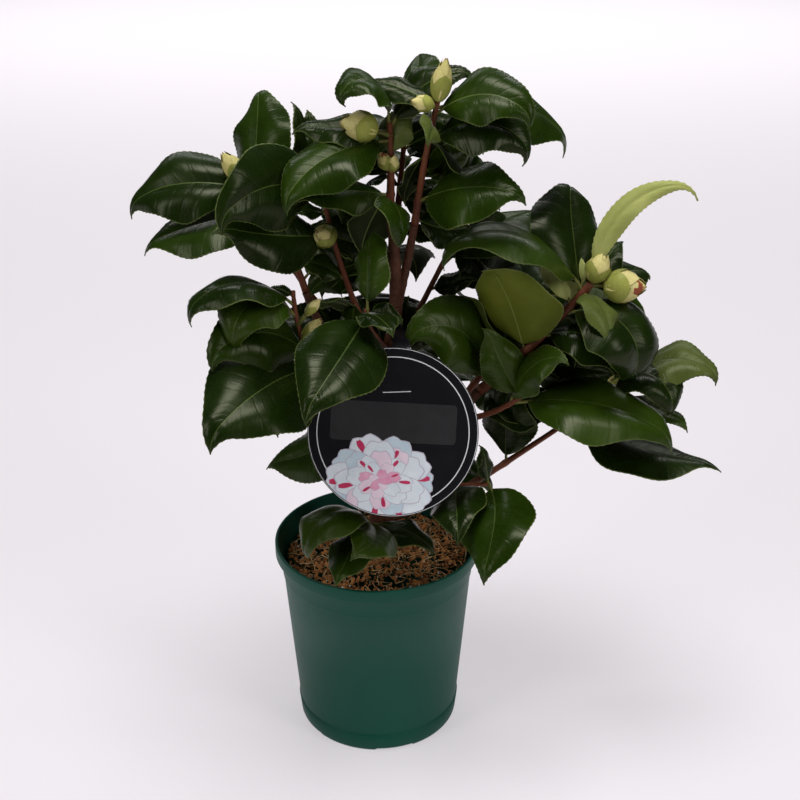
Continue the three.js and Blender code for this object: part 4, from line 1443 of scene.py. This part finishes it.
def makeCard():
    radius = label["radius"]
    bm = bmesh.new()
    bmesh.ops.create_cone(
        bm, cap_ends=True, segments=128, radius1=radius, radius2=radius, depth=label["thickness"])
    rims = [edge for edge in bm.edges if edge.calc_face_angle(0) > 1]
    bmesh.ops.bevel(
        bm, geom=rims, offset=label["edgeRound"], segments=2, affect="EDGES", profile=0.5, material=-1)
    bmesh.ops.transform(bm, matrix=cardPlace, verts=bm.verts)
    addHanger(bm)
    bmesh.ops.remove_doubles(bm, verts=bm.verts, dist=0.002)
    bmesh.ops.recalc_face_normals(bm, faces=bm.faces)
    card = printMaterial("labelBlack", (0.006, 0.006, 0.008), (0.009, 0.009, 0.011), 0.16)
    finishPiece(bm, "labelCard", [card], ["label"], smooth=False)


def addRing(bm, inside, width, ink, z):
    ring = bmesh.ops.create_circle(bm, cap_ends=False, segments=128, radius=inside + width)["verts"]
    innerRing = vertsIn(bmesh.ops.extrude_edge_only(bm, edges=edgesOf(ring))["geom"])
    bmesh.ops.scale(bm, vec=(inside / (inside + width),) * 2 + (1,), verts=innerRing)
    bmesh.ops.translate(bm, vec=(0, 0, z), verts=ring + innerRing)
    paint(facesOf(innerRing), ink)


def addShape(bm, points, ink, z):
    verts = [bm.verts.new((x, y, z)) for x, y in points]
    paint(bmesh.ops.contextual_create(bm, geom=verts)["faces"], ink)


def addPanel(bm, z):
    width, height, corner = label["panel"]
    points = []
    for sideX, sideY, start in ((1, 1, 0), (-1, 1, 90), (-1, -1, 180), (1, -1, 270)):
        for k in range(7):
            a = math.radians(start + 15 * k)
            x = sideX * (width / 2 - corner) + corner * math.cos(a)
            y = sideY * (height / 2 - corner) + corner * math.sin(a) + label["panelHeight"]
            points.append((x, y))
    addShape(bm, points, grey, z)


# a plain double flower: rings of rounded petals, each over its own shade, with a few flecks
def addFlower(bm, z):
    centre = Vector((*label["flowerPlace"], z))
    squash = Matrix.Diagonal((1, label["flowerSquash"], 1, 1))
    radius = label["flowerRadius"]
    layerCount = 0

    def petal(angle, reach, size, ink):
        nonlocal layerCount
        for grow, layerInk in ((label["petalShade"], shade), (1, ink)):
            layerCount += 1
            place = Matrix.Translation(centre + Vector((0, 0, label["printStep"] * layerCount))) @ squash
            place = place @ Matrix.Rotation(angle, 4, "Z") @ Matrix.Translation((reach * radius, 0, 0))
            shape = Matrix.Diagonal((size[0] * grow * radius, size[1] * grow * radius, 1, 1))
            rim = bmesh.ops.create_circle(bm, cap_ends=True, segments=28, radius=1)["verts"]
            for vert in rim:
                vert.co.y *= 1 + 0.28 * vert.co.x
                vert.co.x *= 1 - 0.10 * math.cos(6 * vert.co.y)
            paint(facesOf(rim), layerInk)
            bmesh.ops.transform(bm, matrix=place @ shape, verts=rim)

    for number, ring in enumerate(petalRings):
        for k in range(ring["count"]):
            angle = 2 * math.pi * k / ring["count"] + 0.37 * number + 0.12 * math.sin(5 * k + number)
            size = tuple(share * (1 + 0.12 * math.sin(3 * k + 2 * number)) for share in ring["size"])
            petal(angle, ring["reach"], size, ring["inks"][k % 4])
            if number < 4 and (k * 7 + number * 3) % 5 < 2:
                petal(angle + 0.10, ring["reach"] + size[0] * 0.45, (size[0] * 0.42, size[1] * 0.20), crimson)


def makePrint():
    bm = bmesh.new()
    radius = label["radius"]
    lift = label["thickness"] / 2 + label["printLift"]
    addRing(bm, radius - label["ringInset"] - label["ringWidth"], label["ringWidth"], silver, lift)
    addRing(bm, radius - label["rimLineInset"], label["rimLine"], silver, lift)
    addPanel(bm, lift)
    addShape(bm, label["ruleCorners"], silver, lift)
    addFlower(bm, lift)
    limit = radius - label["flowerEdge"]
    for vert in bm.verts:
        flat = Vector((vert.co.x, vert.co.y))
        if vert.co.z > lift + 0.02 and flat.length > limit:
            vert.co.x, vert.co.y = flat.normalized() * limit
    bmesh.ops.triangulate(bm, faces=[f for f in bm.faces if len(f.verts) > 4])
    bm.normal_update()
    for face in bm.faces:
        if face.normal.z < 0:
            face.normal_flip()
    bmesh.ops.transform(bm, matrix=cardPlace, verts=bm.verts)
    materials = [printMaterial(name, *ink) for name, ink in inks.items()]
    finishPiece(bm, "labelPrint", materials, smooth=False)


# build it all

growLimbs()
growMasses()
makePot()
makeSoil()
makeCard()
makePrint()

# stage, lights and camera

studio = {
    "floorColour": (0.42, 0.40, 0.42),
    "glowColour": (0.86, 0.82, 0.86),
    "floorGlow": 0.56,
    "worldColour": (1.0, 0.98, 1.0),
    "worldStrength": 0.05,
    "wallColour": (0.80, 0.76, 0.80),
    "lightTarget": (0, 0, 0.2),
    "backdropTarget": (0, 3.6, 0),
    "cameraPlace": (0.0146, -0.7118, 0.5596),
    "cameraTilt": 64.9,
    "lens": 58.22,
    "sensorWidth": 36,
    "viewRange": 50,
}

bm = bmesh.new()
bmesh.ops.create_grid(bm, x_segments=1, y_segments=1, size=6)
floorMesh = bpy.data.meshes.new("studioFloor")
bm.to_mesh(floorMesh)
bm.free()
studioFloor = addObject("studioFloor", floorMesh)
floorMaterial, nodes, links, shader = newMaterial("floorPaper")
shader.inputs["Base Color"].default_value = (*studio["floorColour"], 1)
shader.inputs["Roughness"].default_value = 0.9
shader.inputs["Specular IOR Level"].default_value = 0.0
shader.inputs["Emission Color"].default_value = (*studio["glowColour"], 1)
shader.inputs["Emission Strength"].default_value = studio["floorGlow"]
floorMesh.materials.append(floorMaterial)

world = bpy.data.worlds.new("studioWorld")
world.use_nodes = True
worldNodes = world.node_tree.nodes
ambient = worldNodes["Background"]
ambient.inputs["Color"].default_value = (*studio["worldColour"], 1)
ambient.inputs["Strength"].default_value = studio["worldStrength"]
wall = addNode(worldNodes, "ShaderNodeBackground", {"Color": (*studio["wallColour"], 1), "Strength": 1.0})
worldMix = worldNodes.new("ShaderNodeMixShader")
wire(
    world.node_tree.links,
    (worldNodes.new("ShaderNodeLightPath"), "Is Camera Ray", worldMix, 0),
    (ambient, "Background", worldMix, 1), (wall, "Background", worldMix, 2),
    (worldMix, "Shader", worldNodes["World Output"], "Surface"))
bpy.context.scene.world = world


def addLight(name, place, target, size, power):
    data = bpy.data.lights.new(name, "AREA")
    data.shape = "RECTANGLE"
    data.size, data.size_y = size
    data.energy = power
    lamp = addObject(name, data)
    lamp.location = place
    lamp.rotation_euler = (Vector(target) - Vector(place)).to_track_quat("-Z", "Y").to_euler()


addLight("softboxTop", (0.0, -0.1, 1.5), studio["lightTarget"], (0.7, 0.5), 13)
addLight("softboxLeft", (-1.3, -1.0, 1.2), studio["lightTarget"], (0.5, 1.1), 9)
addLight("softboxRight", (1.3, -1.0, 1.2), studio["lightTarget"], (0.5, 1.1), 10)
addLight("backdropLight", (0, 2.6, 2.2), studio["backdropTarget"], (4, 1), 100)

cameraData = bpy.data.cameras.new("studioCamera")
cameraData.sensor_width = studio["sensorWidth"]
cameraData.lens = studio["lens"]
cameraData.clip_end = studio["viewRange"]
camera = addObject("studioCamera", cameraData)
camera.location = studio["cameraPlace"]
camera.rotation_euler = (math.radians(studio["cameraTilt"]), 0, 0)
bpy.context.scene.camera = camera
bpy.context.scene.view_settings.view_transform = "Standard"

bpy.context.view_layer.update()
report("done")
